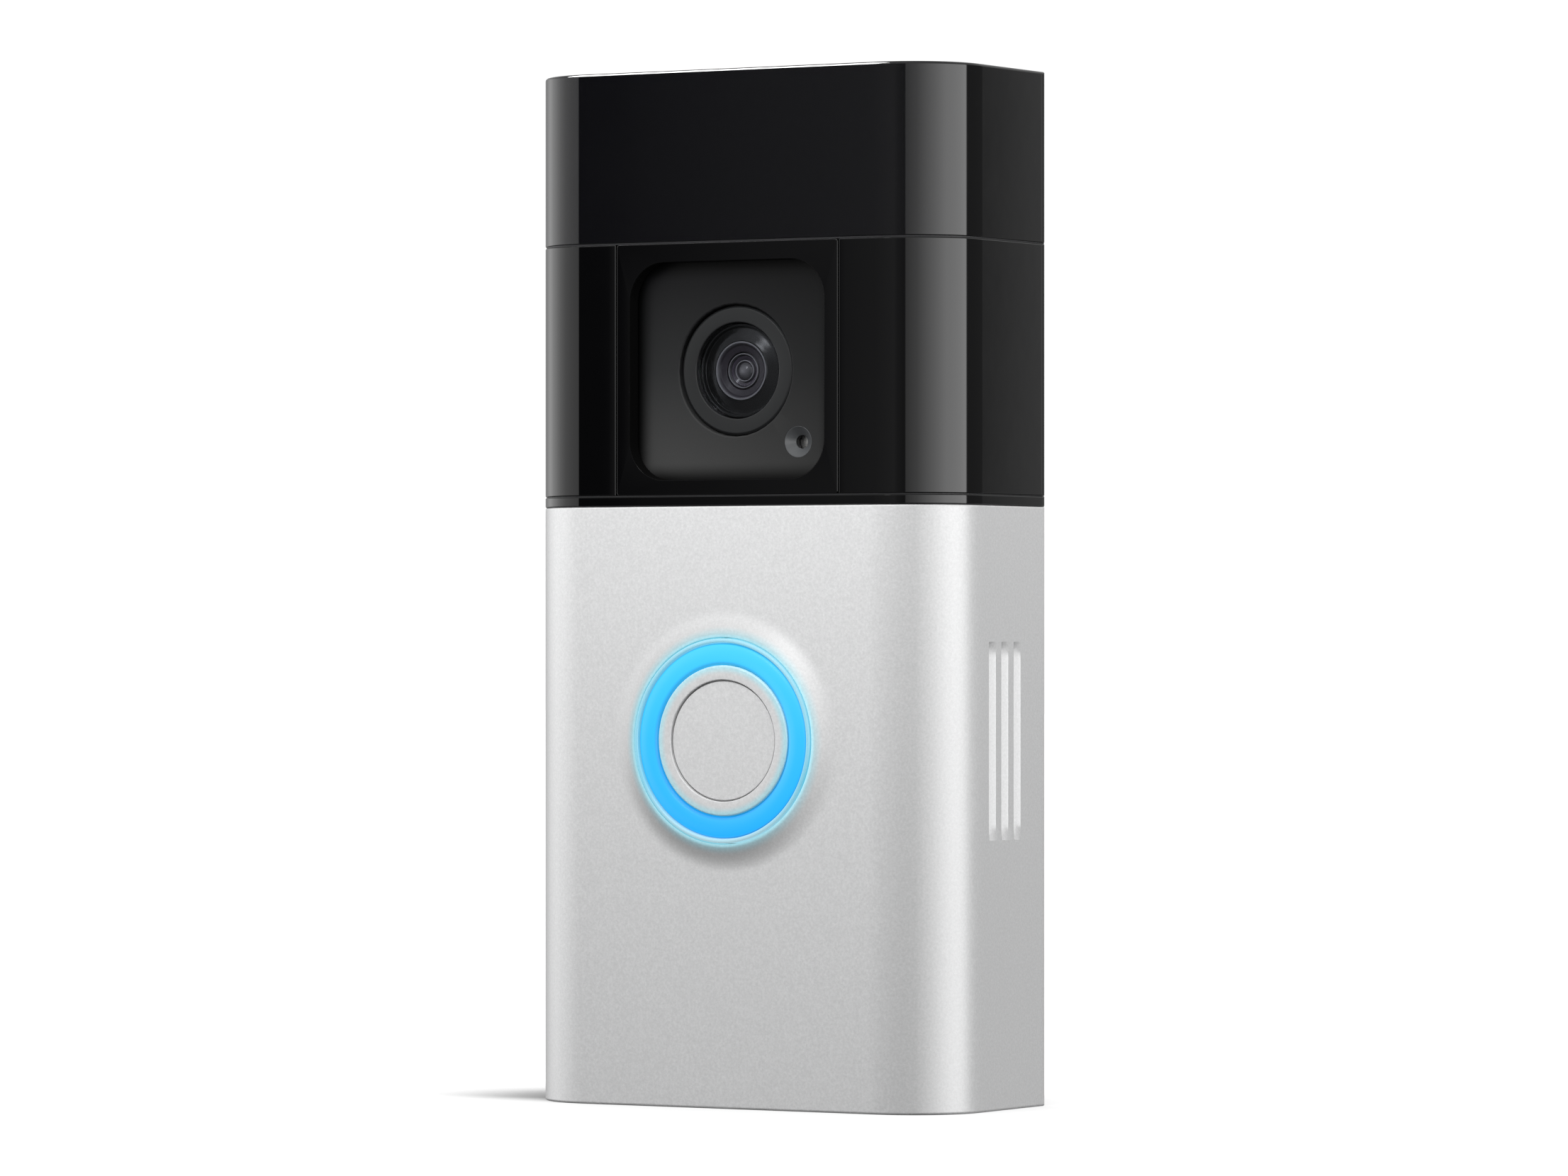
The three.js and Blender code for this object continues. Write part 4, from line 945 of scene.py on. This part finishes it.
def side_panel(sign, name):
    columns = side_columns(sign)
    end = PANEL_LOW.x
    columns.append(column(sign * (end + 1.0), FRONT, 0, -1))
    columns += [column(sign * (end + out), FRONT, 0, -1, inset) for out, inset in edge_curve(TILE_EDGE)]
    panel = skin_piece(f"side_panel_{name}_skin", columns, plain_rows(PANEL_LOW.z, PANEL_HIGH.z))
    place(panel, GLOSS, "gloss_black", "faceplate", f"side_panel_{name}")


def seam_fill(name, low, high):
    """The black filler in a seam, set a little behind the skins' outer faces."""
    low, high = low + SLIVER, high - SLIVER
    outer, inner = SEAM_SET_BACK, SKIN + 0.08
    path = full_columns()[1:-1]
    count = len(path)
    verts = []
    for level, inset in ((low, outer), (high, outer), (high, inner), (low, inner)):
        verts += [point_at(col, level, inset) for col in path]
    faces = []
    for i in range(4):
        faces += strip(i * count, ((i + 1) % 4) * count, count, False)
    for j in (0, count - 1):
        faces.append(tuple(j + i * count for i in range(4)))
    filler = make_object(name, verts, faces)
    place(filler, MATT, "matt_black", "faceplate")


def window_hole(wider, y):
    """The outline of the camera window's hole, made wider all round, at a depth."""
    half_x, half_z = WINDOW_HALF_X + wider, WINDOW_HALF_Z + wider
    return facing(rect_outline(half_x, half_z, WINDOW_RADIUS + wider), y, 0, LENS_Z)


def camera_tile():
    """The flush tile with its rounded hole, and the collar that runs back from it."""
    middle, half = node_middle("camera_tile")
    plate_back = FRONT + TILE_THICK
    collar = rect_outline(WINDOW_HIGH.x, WINDOW_HIGH.x, COLLAR_CORNER)
    loops = [facing(collar, plate_back, 0, LENS_Z)]
    for depth, inset in [(TILE_THICK, 0.0)] + edge_curve(TILE_EDGE):
        outline = rect_outline(half.x - inset, half.z - inset, TILE_CORNER)
        loops.append(facing(outline, FRONT + depth, 0, middle.z))
    loops += [window_hole(out, FRONT + depth) for depth, out in edge_curve(WINDOW_EDGE, 2)[::-1]]
    loops.append(window_hole(0.0, TILE_HIGH.y))
    loops.append(facing(collar, TILE_HIGH.y, 0, LENS_Z))
    tile = lofted("camera_tile_plate", loops, ring=True)
    place(tile, GLOSS, "gloss_black", "faceplate", "camera_tile")
    # A near-black lining on the walls of the hole: painted shade.
    start, end = FRONT + 0.04, TILE_HIGH.y
    outer, inner = -0.01, -0.05
    corners = ((outer, start), (inner, start), (inner, end), (outer, end))
    lining = lofted("camera_tile_lining", [window_hole(wider, y) for wider, y in corners], ring=True)
    place(lining, SHADE_LINING_BLACK, "matt_black", "faceplate")


# ---- Camera and button -----------------------------------------------------------------

BACK = "back"
SIDES = 192


def behind(node, profile):
    """A profile of (radius, depth behind the node's front or BACK, fillet), put at the node."""
    low, high = node_box(node)
    points = []
    for radius, depth, *fillet in profile:
        points.append((radius, high.y if depth == BACK else low.y + depth, *fillet))
    return points


PORT = (9.0, LENS_Z - 8.9)
LENS_HOLE = 8.15
LENS_HOLE_EDGE = 0.25
FLAT_RING = 12.0           # a ring of points that carries the window's floor from square to round
PORT_CONE = [(0, -0.5), (2.05, -0.5), (2.0, 0, 0.3), (0.95, 0.95, 0.1), (0.92, 1.1), (0.92, 1.6), (0, 1.6)]
PORT_CUP = [(1.96, 0.05), (0.91, 0.99), (0.89, BACK), (0.84, BACK), (0.84, 0.97), (1.88, 0.03)]


def camera_window():
    """The recessed floor of the window, with the lens hole and the conical port."""
    half = WINDOW_HIGH.x
    front, back = WINDOW_LOW.y, WINDOW_HIGH.y
    outline = rect_outline(half, half, COLLAR_CORNER, 12, 8)
    circle = [p.normalized() for p in outline]
    rings = [(FLAT_RING, front)]
    rings += [(LENS_HOLE + out, front + depth) for out, depth in edge_curve(LENS_HOLE_EDGE)]
    rings.append((LENS_HOLE, back))
    loops = [facing(outline, y, 0, LENS_Z) for y in (back, front)]
    loops += [facing([c * radius for c in circle], y, 0, LENS_Z) for radius, y in rings]
    window = lofted("camera_window_floor", loops, ring=True)
    cone = turned("port", behind("camera_window", PORT_CONE), PORT, closed=False, steps=72)
    carve(window, cone, sharp=50)
    place(window, WINDOW, "window_black", "unit", "camera_window")
    cup = turned("port_cup", behind("camera_window", PORT_CUP), PORT, steps=96)
    place(cup, PORT_BLACK, "window_black", "unit")


def domed(radius, apex, sag, steps):
    """Points from the middle of a shallow dome to its edge."""
    return [(radius * k / steps, apex + sag * (k / steps) ** 2) for k in range(steps + 1)]


def lens_pieces():
    """The ring, the slightly domed glass, the baffle behind it and the inner lens group."""
    at = (0.0, LENS_Z)
    outer = node_box("lens_ring")[1].x
    profile = [(5.95, BACK), (5.95, 0.1, 0.06), (6.05, 0.03, 0.06), (outer - 0.3, 0, 0.08),
               (outer, 0.24, 0.08), (outer, BACK)]
    ring = turned("lens_ring_bezel", behind("lens_ring", profile), at, steps=SIDES)
    place(ring, RING_BLACK, "window_black", "unit", "lens_ring")

    outer = node_box("lens_glass")[1].x
    profile = domed(outer, 0.02, 0.07, 12) + [(outer, BACK), (0, BACK)]
    glass = turned("lens_glass_dome", behind("lens_glass", profile), at, closed=False)
    place(glass, GLASS, "lens_glass", "unit", "lens_glass")

    # From the rim in: the convex apron, the lip, the funnel behind it and the second lens's rim.
    outer = node_box("lens_barrel")[1].x
    profile = [
        (outer, BACK), (outer, 0, 0.05), (outer - 0.3, 0, 0.05), (5.35, 0.55, 0.1), (4.6, 0.34, 0.3),
        (3.72, 0.12, 0.08), (3.62, 0, 0.07), (3.44, 0, 0.07), (3.12, 0.42, 0.1), (2.36, 0.55, 0.06),
        (2.3, 0.9, 0.06), (2.17, 0.9, 0.04), (2.15, 0.52, 0.06), (2.02, 0.52, 0.06),
        (1.98, 1.1, 0.03), (1.98, BACK),
    ]
    barrel = turned("lens_barrel_baffle", behind("lens_barrel", profile), at, fillet_steps=3)
    place(barrel, BAFFLE, "matt_black", "unit", "lens_barrel")

    # From the middle out: the small domed front lens, its fine rim and the dished ring.
    profile = domed(1.12, 0, 0.34, 10) + [
        (1.16, 0.42, 0.03), (1.2, 0.16, 0.04), (1.32, 0.16, 0.04), (1.38, 0.42, 0.05),
        (1.86, 0.2, 0.05), (1.9, 0.3), (1.9, BACK), (0, BACK),
    ]
    group = turned("lens_element_group", behind("lens_element", profile), at, closed=False, fillet_steps=3)
    place(group, COATED, "lens_glass", "unit", "lens_element")


CROWN = 0.22               # how far the light guide's middle stands before its edges
RIM_INNER = 12.08
CAP_INNER = 7.5
CAP_WALL = 1.2
CAP_DEPTH = 3.5
STEM = 3.0
DISC_GAP = 0.04
DISC_SUNK = 0.1


def button_pieces():
    """The lit ring, its clear rim, and the cap with its stem and inner disc."""
    at = (0.0, BUTTON_Z)
    shares = [k / 10 for k in range(1, 10)]
    bow = [(RING_INNER + (RING_RADIUS - RING_INNER) * t, CROWN * (2 * t - 1) ** 2) for t in shares]
    profile = [(RING_INNER, BACK), (RING_INNER, CROWN + 0.12, 0.1)] + bow
    profile += [(RING_RADIUS, CROWN + 0.12, 0.1), (RING_RADIUS, BACK)]
    ring = turned("light_ring_guide", behind("light_ring", profile), at, steps=SIDES)
    place(ring, BLUE, "blue_light", "unit", "light_ring")

    profile = [(RIM_INNER, BACK), (RIM_INNER, 0, 0.2), (RIM_RADIUS, 0, 0.34), (RIM_RADIUS, BACK)]
    rim = turned("light_ring_edge", behind("light_ring_rim", profile), at, steps=SIDES)
    place(rim, PALE, "pale_rim", "unit", "light_ring_rim")

    wall = CAP_RADIUS - CAP_WALL
    profile = [
        (0, 0.7), (CAP_INNER, 0.7), (CAP_INNER, 0.02, 0.12), (CAP_RADIUS, 0, 0.3),
        (CAP_RADIUS, CAP_DEPTH, 0.1), (wall, CAP_DEPTH, 0.1), (wall, 1.5), (STEM, 1.5, 0.3),
        (STEM, BACK, 0.1), (0, BACK),
    ]
    cap = turned("button_cap_ring", behind("button_cap", profile), at, closed=False, steps=SIDES)
    place(cap, SILVER, "silver", "button", "button_cap")

    radius = node_box("button_disc")[1].x - DISC_GAP
    profile = [(0, DISC_SUNK), (radius, DISC_SUNK, 0.1), (radius, BACK), (0, BACK)]
    disc = turned("button_disc_face", behind("button_disc", profile), at, closed=False, steps=SIDES)
    place(disc, SILVER, "silver", "button", "button_disc")


# ---- Housings, fasteners and battery ---------------------------------------------------

BEYOND = 1.0               # how far a cutter runs out past the face that it cuts

SCREW_HEAD = 2.6
SCREW_HEAD_HIGH = 0.9
SCREW_THREAD = 1.4
LOBES = 6
STAR_POINTS = 36


def security_screw():
    """The screw under the faceplate, with a six-lobed socket that has a pin in its middle."""
    low, high = node_box("security_screw")
    shoulder = low.z + SCREW_HEAD_HIGH
    profile = [(0, low.z), (SCREW_HEAD, low.z, 0.25), (SCREW_HEAD, shoulder), (SCREW_THREAD, shoulder, 0.1),
               (SCREW_THREAD, high.z - 0.5), (0.9, high.z), (0, high.z)]
    screw = turned("security_screw_body", profile, (0.0, SCREW_Y), True, False, 48, 3)
    star = []
    for k in range(STAR_POINTS):
        angle = 2 * math.pi * k / STAR_POINTS
        reach = 1.02 + 0.16 * math.cos(LOBES * angle)
        star.append((reach * math.cos(angle), reach * math.sin(angle)))
    socket = laid("socket", star, (low.z - 0.5, low.z + 0.65), 0.0, SCREW_Y)
    pin = laid("pin", round_outline(0.3, 24), (low.z - 0.1, low.z + 0.75), 0.0, SCREW_Y)
    carve(socket, pin)
    carve(screw, socket)
    place(screw, STEEL, "steel", "security_screw", "security_screw")


def from_cad(node, name, *cutters, edge=0.2, segments=2):
    """A copy of a CAD node with its flats merged, further detail carved in and its edges rounded."""
    mesh = frame["nodes"][node].data.copy()
    bm = bmesh.new()
    bm.from_mesh(mesh)
    bmesh.ops.remove_doubles(bm, verts=bm.verts, dist=1e-6)
    bmesh.ops.dissolve_limit(bm, angle_limit=math.radians(0.5), verts=bm.verts, edges=bm.edges)
    bm.to_mesh(mesh)
    bm.free()
    tidy_mesh(mesh, 35)
    obj = add_object(name, mesh)
    if cutters:
        carve(obj, *cutters)
    return soften(obj, edge, segments)


def pockets(face, way, table):
    """Cutters sunk into a face that looks along way, which is 1 for the back and -1 for the front.

    Each row of the table is (x, z, half width, half height, corner radius, depth)."""
    cutters = []
    for x, z, half_x, half_z, radius, depth in table:
        outline = rect_outline(half_x, half_z, radius, 5, 2)
        depths = sorted((face - way * depth, face + way * BEYOND))
        cutters.append(stood("pocket", outline, depths, x, z))
    return cutters


RATING_Z = 42
LABEL_RECESS = [(0, RATING_Z, 17.5, 24, 2.0, 0.3)]
WIRE_WELL = [(0, 108, 9, 4.5, 1.5, 2.0), (-5.5, 102, 1.6, 3.4, 0.6, 2.0), (5.5, 102, 1.6, 3.4, 0.6, 2.0)]
RIB_POCKETS = [(sign * 23.9, 26 + 18.2 * row, 2.2, 7.9, 0.8, 0.8) for sign in (-1, 1) for row in range(5)]
RIB_POCKETS += [(x, 76.5, 5, 5.5, 0.8, 0.8) for x in (-12, 0, 12)]


def rear_housing():
    """The back: its label recess, its rows of rib pockets and the well that the wires leave by."""
    back = node_box("rear_housing")[1].y
    cutters = pockets(back, 1, LABEL_RECESS + WIRE_WELL + RIB_POCKETS)
    housing = from_cad("rear_housing", "rear_housing_moulding", *cutters, edge=0.22)
    place(housing, MATT, "matt_black", "unit", "rear_housing")
    sheet = rect_outline(16.8, 23.3, 1.6, 6, 2)
    label = stood("rating_label", sheet, (back - 0.28, back - 0.16), 0, RATING_Z)
    place(label, LABEL, "white_plastic", "unit")


def machine_screw(node, way, head_high, shank):
    """A pan-head screw with a cross recess. Its head looks along way: 1 is back and -1 is front."""
    middle, half = node_middle(node)
    x, z, head = middle.x, middle.z, half.x
    face = middle.y + way * half.y
    tip = middle.y - way * half.y
    seat = face - way * head_high
    profile = [
        (0, face), (head * 0.62, face, 0.3), (head, face - way * head_high * 0.5, 0.4),
        (head, seat, 0.08), (shank, seat, 0.08), (shank, tip + way * 0.5, 0.2), (shank * 0.6, tip, 0.1),
        (0, tip),
    ]
    screw = turned(f"{node}_pan", profile, (x, z), closed=False, steps=64)
    reach, width, depth = head * 0.62, head * 0.13, head_high * 0.62
    bars = []
    for half_x, half_z in ((reach, width), (width, reach)):
        outline = rect_outline(half_x, half_z, width * 0.4, 3, 2)
        taper = rect_outline(half_x * 0.55, half_z * 0.55, width * 0.2, 3, 2)
        ends = [facing(outline, face + way * 0.1, x, z), facing(taper, face - way * depth, x, z)]
        bars.append(lofted("bar", ends))
    carve(screw, *bars)
    place(screw, STEEL, "steel", "unit", node)


def fasteners():
    for number in range(1, 5):
        machine_screw(f"case_screw_{number}", -1, 1.0, 1.0)
    for side in ("left", "right"):
        machine_screw(f"terminal_screw_{side}", 1, 1.5, 1.4)


COVER_POCKETS = [
    (-22.8, 46, 2.6, 9, 0.9, 0.6), (22.8, 46, 2.6, 9, 0.9, 0.6), (-22.8, 64, 2.6, 4.5, 0.9, 0.6),
    (-21.5, 116.5, 2.6, 3.4, 0.9, 0.6), (21.5, 116.5, 2.6, 3.4, 0.9, 0.6), (0, 116, 14, 4, 1.2, 0.6),
]


def front_cover():
    """The sealed unit's front, with long stiffening pockets."""
    cutters = pockets(node_box("front_cover")[0].y, -1, COVER_POCKETS)
    cover = from_cad("front_cover", "front_cover_moulding", *cutters, edge=0.16)
    place(cover, MATT, "matt_black", "unit", "front_cover")


# CAD node, the ending of its piece's name, material, slot, body, and rounding of its edges.
PLAIN_PIECES = [
    ("faceplate_carrier", "piece", MATT, "matt_black", "faceplate", 0.12),
    ("button_housing", "piece", WHITE, "white_plastic", "unit", 0.15),
    ("setup_button", "piece", ORANGE, "orange_plastic", "setup_button", 0.25),
    ("battery_lid", "piece", GREY, "grey_plastic", "battery_pack", 0.2),
    ("battery_latch", "piece", GREY, "grey_plastic", "battery_latch", 0.22),
    ("battery_bay", "piece", MATT, "matt_black", "unit", 0.1),
    ("battery_contacts", "piece", BRASS, "brass", "unit", 0.08),
    ("button_retainer", "piece", STEEL, "steel", "button", 0.06),
    ("terminal_plate_left", "clamp", BRASS, "brass", "unit", 0.18),
    ("terminal_plate_right", "clamp", BRASS, "brass", "unit", 0.18),
]


def plain_pieces():
    """Pieces whose CAD shape is already complete: their edges are rounded."""
    for node, ending, material, slot, body, edge in PLAIN_PIECES:
        piece = from_cad(node, f"{node}_{ending}", edge=edge, segments=3)
        place(piece, material, slot, body, node)


PACK_FRONT = -0.5          # front and back of the battery case below its lid
PACK_BACK = 10.1
PACK_LABEL_Z = 38
PACK_RECESS = [(0, PACK_LABEL_Z, 15.5, 18, 1.8, 0.25)]
FINGER_RIBS = [(0, 12 + 2.2 * k, 11, 0.55, 0.5, 0.3) for k in range(5)]


def battery_case():
    """The battery's case with a sunk label on its front and a row of finger ribs low on its back."""
    cutters = pockets(PACK_FRONT, -1, PACK_RECESS) + pockets(PACK_BACK, 1, FINGER_RIBS)
    case = from_cad("battery_case", "battery_case_moulding", *cutters, edge=0.3)
    place(case, GREY, "grey_plastic", "battery_pack", "battery_case")
    sheet = rect_outline(15.0, 17.5, 1.5, 6, 2)
    label = stood("battery_label", sheet, (PACK_FRONT + 0.1, PACK_FRONT + 0.23), 0, PACK_LABEL_Z)
    place(label, LABEL, "white_plastic", "battery_pack")


SOCKET_WALL = 0.25
SOCKET_LIP = 0.08


def charge_port():
    """A charging socket that opens downwards: a drawn shell and the tongue inside it."""
    middle, half = node_middle("charge_port")
    low, high = node_box("charge_port")
    floor_z = high.z - 0.5

    def shell_loop(inset, z):
        outline = rect_outline(half.x - inset, half.y - inset, half.y - inset - 0.05, 8, 3)
        return lying(outline, z, middle.x, middle.y)

    corners = ((0.0, high.z), (0.0, low.z + SOCKET_LIP), (SOCKET_LIP, low.z),
               (SOCKET_WALL, low.z), (SOCKET_WALL, floor_z))
    shell = lofted("charge_port_shell", [shell_loop(inset, z) for inset, z in corners])
    place(shell, STEEL, "steel", "battery_pack", "charge_port")
    blade = rect_outline(half.x - 1.1, 0.35, 0.12, 4, 2)
    tongue = laid("charge_port_tongue", blade, (low.z + 0.8, floor_z - 0.02), middle.x, middle.y)
    place(tongue, MATT, "matt_black", "battery_pack")


def motion_sensors():
    """Two cans with a rim and a dark window each."""
    for side in ("left", "right"):
        node = f"motion_sensor_{side}"
        middle, half = node_middle(node)
        at = (middle.x, middle.z)
        radius, deep = half.x, 2 * half.y
        well, wall = radius - 1.15, radius - 0.45
        profile = [(0, 0.12), (well, 0.12), (well, 0, 0.1), (wall, 0, 0.35), (wall, deep - 0.7, 0.15),
                   (radius, deep - 0.7, 0.1), (radius, BACK, 0.1), (0, BACK)]
        can = turned(f"{node}_can", behind(node, profile), at, closed=False, steps=96)
        place(can, STEEL, "steel", "unit", node)
        front = middle.y - half.y
        pane = rect_outline(1.7, 1.35, 0.25, 4, 2)
        window = stood(f"{node}_window", pane, (front + 0.02, front + 0.11), *at)
        place(window, CERAMIC, "sensor", "unit")


# ---- Stage, light and camera -----------------------------------------------------------

FLOOR_HALF = 4.0           # metres
SHADOW_REACH = 27.0
SHADOW_FADE = 0.75         # how far the shadow is cleared in front of the doorbell and to its right
SHADOW = [(0.0, 0.02), (0.55, 0.12), (0.75, 0.36), (0.9, 0.78), (0.98, 1.0)]
WHITE_LEVEL = 1.05


def floor():
    """White floor with a painted shadow: it greys softly where the doorbell stands close over it.

    It can't be seen from below, so the underside can be looked at."""
    mesh = bpy.data.meshes.new("floor")
    corners = [(-1, -1), (1, -1), (1, 1), (-1, 1)]
    mesh.from_pydata([(x * FLOOR_HALF, y * FLOOR_HALF, 0) for x, y in corners], [], [(0, 1, 2, 3)])
    obj = add_object("floor", mesh)
    look = Shader("pale_floor", grey(0.12), 0.9, Specular_IOR_Level=0.0, Emission_Strength=WHITE_LEVEL)
    # Painted shadow: the emission greys where the floor is hemmed in by the doorbell, and is cleared in
    # front and to the right.
    openness = look.node("ShaderNodeAmbientOcclusion")
    openness.samples = 16
    openness.inputs["Distance"].default_value = SHADOW_REACH * MM
    light = look.ramp(openness.outputs["AO"], [(share, grey(level)) for share, level in SHADOW])
    ahead = look.remap(look.axis("Y"), (FRONT - 1.0) * MM, (FRONT + CORNER) * MM, SHADOW_FADE, 0.0, True)
    aside = look.remap(look.axis("X"), 0.0, SIDE * MM, 0.0, SHADOW_FADE, True)
    cleared = look.mix(1.0, look.tone(ahead), look.tone(aside), "LIGHTEN")
    light = look.mix(cleared, light, grey(1.0))
    grain = look.shades(look.noise(0.02, 3.0), grey(0.985), grey(1.0))
    look.drive("Emission Color", look.times(light, grain))
    side = look.node("ShaderNodeNewGeometry").outputs["Backfacing"]
    clear = look.node("ShaderNodeBsdfTransparent").outputs["BSDF"]
    look.blend(side, look.shader.outputs["BSDF"], clear, look.output)
    mesh.materials.append(look.material)
    obj.visible_diffuse = False
    obj.visible_glossy = False


# Brightness of the studio's walls by azimuth in degrees, from straight in front towards +X.
WALLS = [
    (-180, 0.3), (-140, 0.32), (-120, 0.75), (-104, 1.85), (-85, 1.9), (-60, 1.2), (-36.2, 0.95),
    (-35.4, 0.04), (-32.4, 0.03), (-30.2, 0.2), (0, 0.28), (6, 0.2), (17.2, 0.14), (18.0, 0.7),
    (35, 1.15), (62, 2.5), (80, 3.5), (116.2, 4.0), (117.0, 0.2), (150.5, 0.13), (151.2, 0.95),
    (153, 0.35), (180, 0.3),
]
CEILING = 0.8
CEILING_STARTS, CEILING_FULL = 0.12, 0.35        # by the height of the direction looked in
GROUND = 0.15
GROUND_STARTS, GROUND_FULL = -0.08, -0.35


def studio():
    """The studio's walls as light; the camera itself sees plain white."""
    world = bpy.data.worlds.new("studio")
    bpy.context.scene.world = world
    world.use_nodes = True
    world.node_tree.nodes.clear()
    sky = Nodes(world.node_tree, "Generated")
    ahead = sky.node("ShaderNodeMath", "MULTIPLY")
    ahead.inputs[1].default_value = -1.0
    sky.link(sky.axis("Y"), ahead.inputs[0])
    azimuth = sky.node("ShaderNodeMath", "ARCTAN2")
    sky.link(sky.axis("X"), azimuth.inputs[0])
    sky.link(ahead.outputs[0], azimuth.inputs[1])
    turn = sky.remap(azimuth.outputs[0], -math.pi, math.pi, 0.0, 1.0)
    color = sky.ramp(turn, [((angle + 180) / 360, grey(level)) for angle, level in WALLS])
    upward = sky.remap(sky.axis("Z"), CEILING_STARTS, CEILING_FULL, 0.0, 1.0)
    color = sky.mix(upward, color, grey(CEILING))
    downward = sky.remap(sky.axis("Z"), GROUND_STARTS, GROUND_FULL, 0.0, 1.0)
    color = sky.mix(downward, color, grey(GROUND))
    light = sky.node("ShaderNodeBackground")
    sky.link(color, light.inputs["Color"])
    backdrop = sky.node("ShaderNodeBackground")
    backdrop.inputs["Color"].default_value = (*grey(1.0), 1.0)
    backdrop.inputs["Strength"].default_value = WHITE_LEVEL
    seen = sky.node("ShaderNodeLightPath").outputs["Is Camera Ray"]
    output = sky.node("ShaderNodeOutputWorld")
    sky.blend(seen, light.outputs["Background"], backdrop.outputs["Background"], output)


LIGHT_AIM = 0.085          # metres above the floor


def softbox(name, azimuth, elevation, distance, size, radiance, mirrored=False, only=None):
    """A square panel that faces the doorbell, or just one piece of it; the camera doesn't see it."""
    light = bpy.data.lights.new(name, "AREA")
    light.shape = "RECTANGLE"
    light.size = size
    light.size_y = size
    light.energy = radiance * math.pi * size * size
    obj = add_object(name, light)
    across, up = math.radians(azimuth), math.radians(elevation)
    away = Vector((math.sin(across) * math.cos(up), -math.cos(across) * math.cos(up), math.sin(up)))
    obj.location = away * distance + Vector((0, 0, LIGHT_AIM))
    obj.rotation_euler = away.to_track_quat("Z", "Y").to_euler()
    obj.visible_camera = False
    obj.visible_glossy = mirrored
    if only:
        lit = bpy.data.collections.new(name + "_lit")
        lit.objects.link(bpy.data.objects[only])
        obj.light_linking.receiver_collection = lit


def lights():
    """The walls, two near panels, and two that only show as reflections in the edge and the lens."""
    studio()
    softbox("key", azimuth=6.0, elevation=33.0, distance=0.15, size=0.08, radiance=14.5)
    softbox("side_key", azimuth=105.0, elevation=40.0, distance=0.15, size=0.08, radiance=4.0)
    softbox("edge_light", -46.0, 45.0, 0.6, 0.35, 45.0, mirrored=True, only=TOP_SKIN)
    softbox("catchlight", -10.0, 25.0, 0.8, 0.12, 5.0, mirrored=True)


CAMERA = {
    "yaw": 30.87,        # degrees that the view is turned towards the doorbell's right side
    "distance": 937.6,   # to the middle of the front face, along the view
    "aside": -7.13,      # the middle of the front face lies this far to the right of the axis
    "height": 58.6,
    "focal": 175.1,
    "shift": 0.0284,
}


def camera():
    yaw = math.radians(CAMERA["yaw"])
    ahead = Vector((-math.sin(yaw), math.cos(yaw), 0))
    right = Vector((math.cos(yaw), math.sin(yaw), 0))
    data = bpy.data.cameras.new("camera")
    data.sensor_width = 36
    data.lens = CAMERA["focal"]
    data.shift_y = CAMERA["shift"]
    obj = add_object("camera", data)
    middle = Vector((0, FRONT, CAMERA["height"]))
    obj.location = (middle - ahead * CAMERA["distance"] - right * CAMERA["aside"]) * MM
    obj.rotation_euler = (math.radians(90), 0, yaw)
    bpy.context.scene.camera = obj


# ---- The scene -------------------------------------------------------------------------

bpy.context.scene.view_settings.view_transform = "Standard"
camera()
floor()
finish_cad_nodes()
silver_shell()
silver_lip()
plain_skins()
for direction, word in ((-1, "left"), (1, "right")):
    side_panel(direction, word)
camera_tile()
seam_fill("seam_fill_top", PANEL_HIGH.z, TOP_LOW.z)
seam_fill("seam_fill_middle", TRIM_HIGH.z, PANEL_LOW.z)
seam_fill("seam_fill_silver", SHELL_HIGH.z, TRIM_LOW.z)
camera_window()
lens_pieces()
button_pieces()
security_screw()
rear_housing()
fasteners()
front_cover()
plain_pieces()
battery_case()
charge_port()
motion_sensors()
lights()
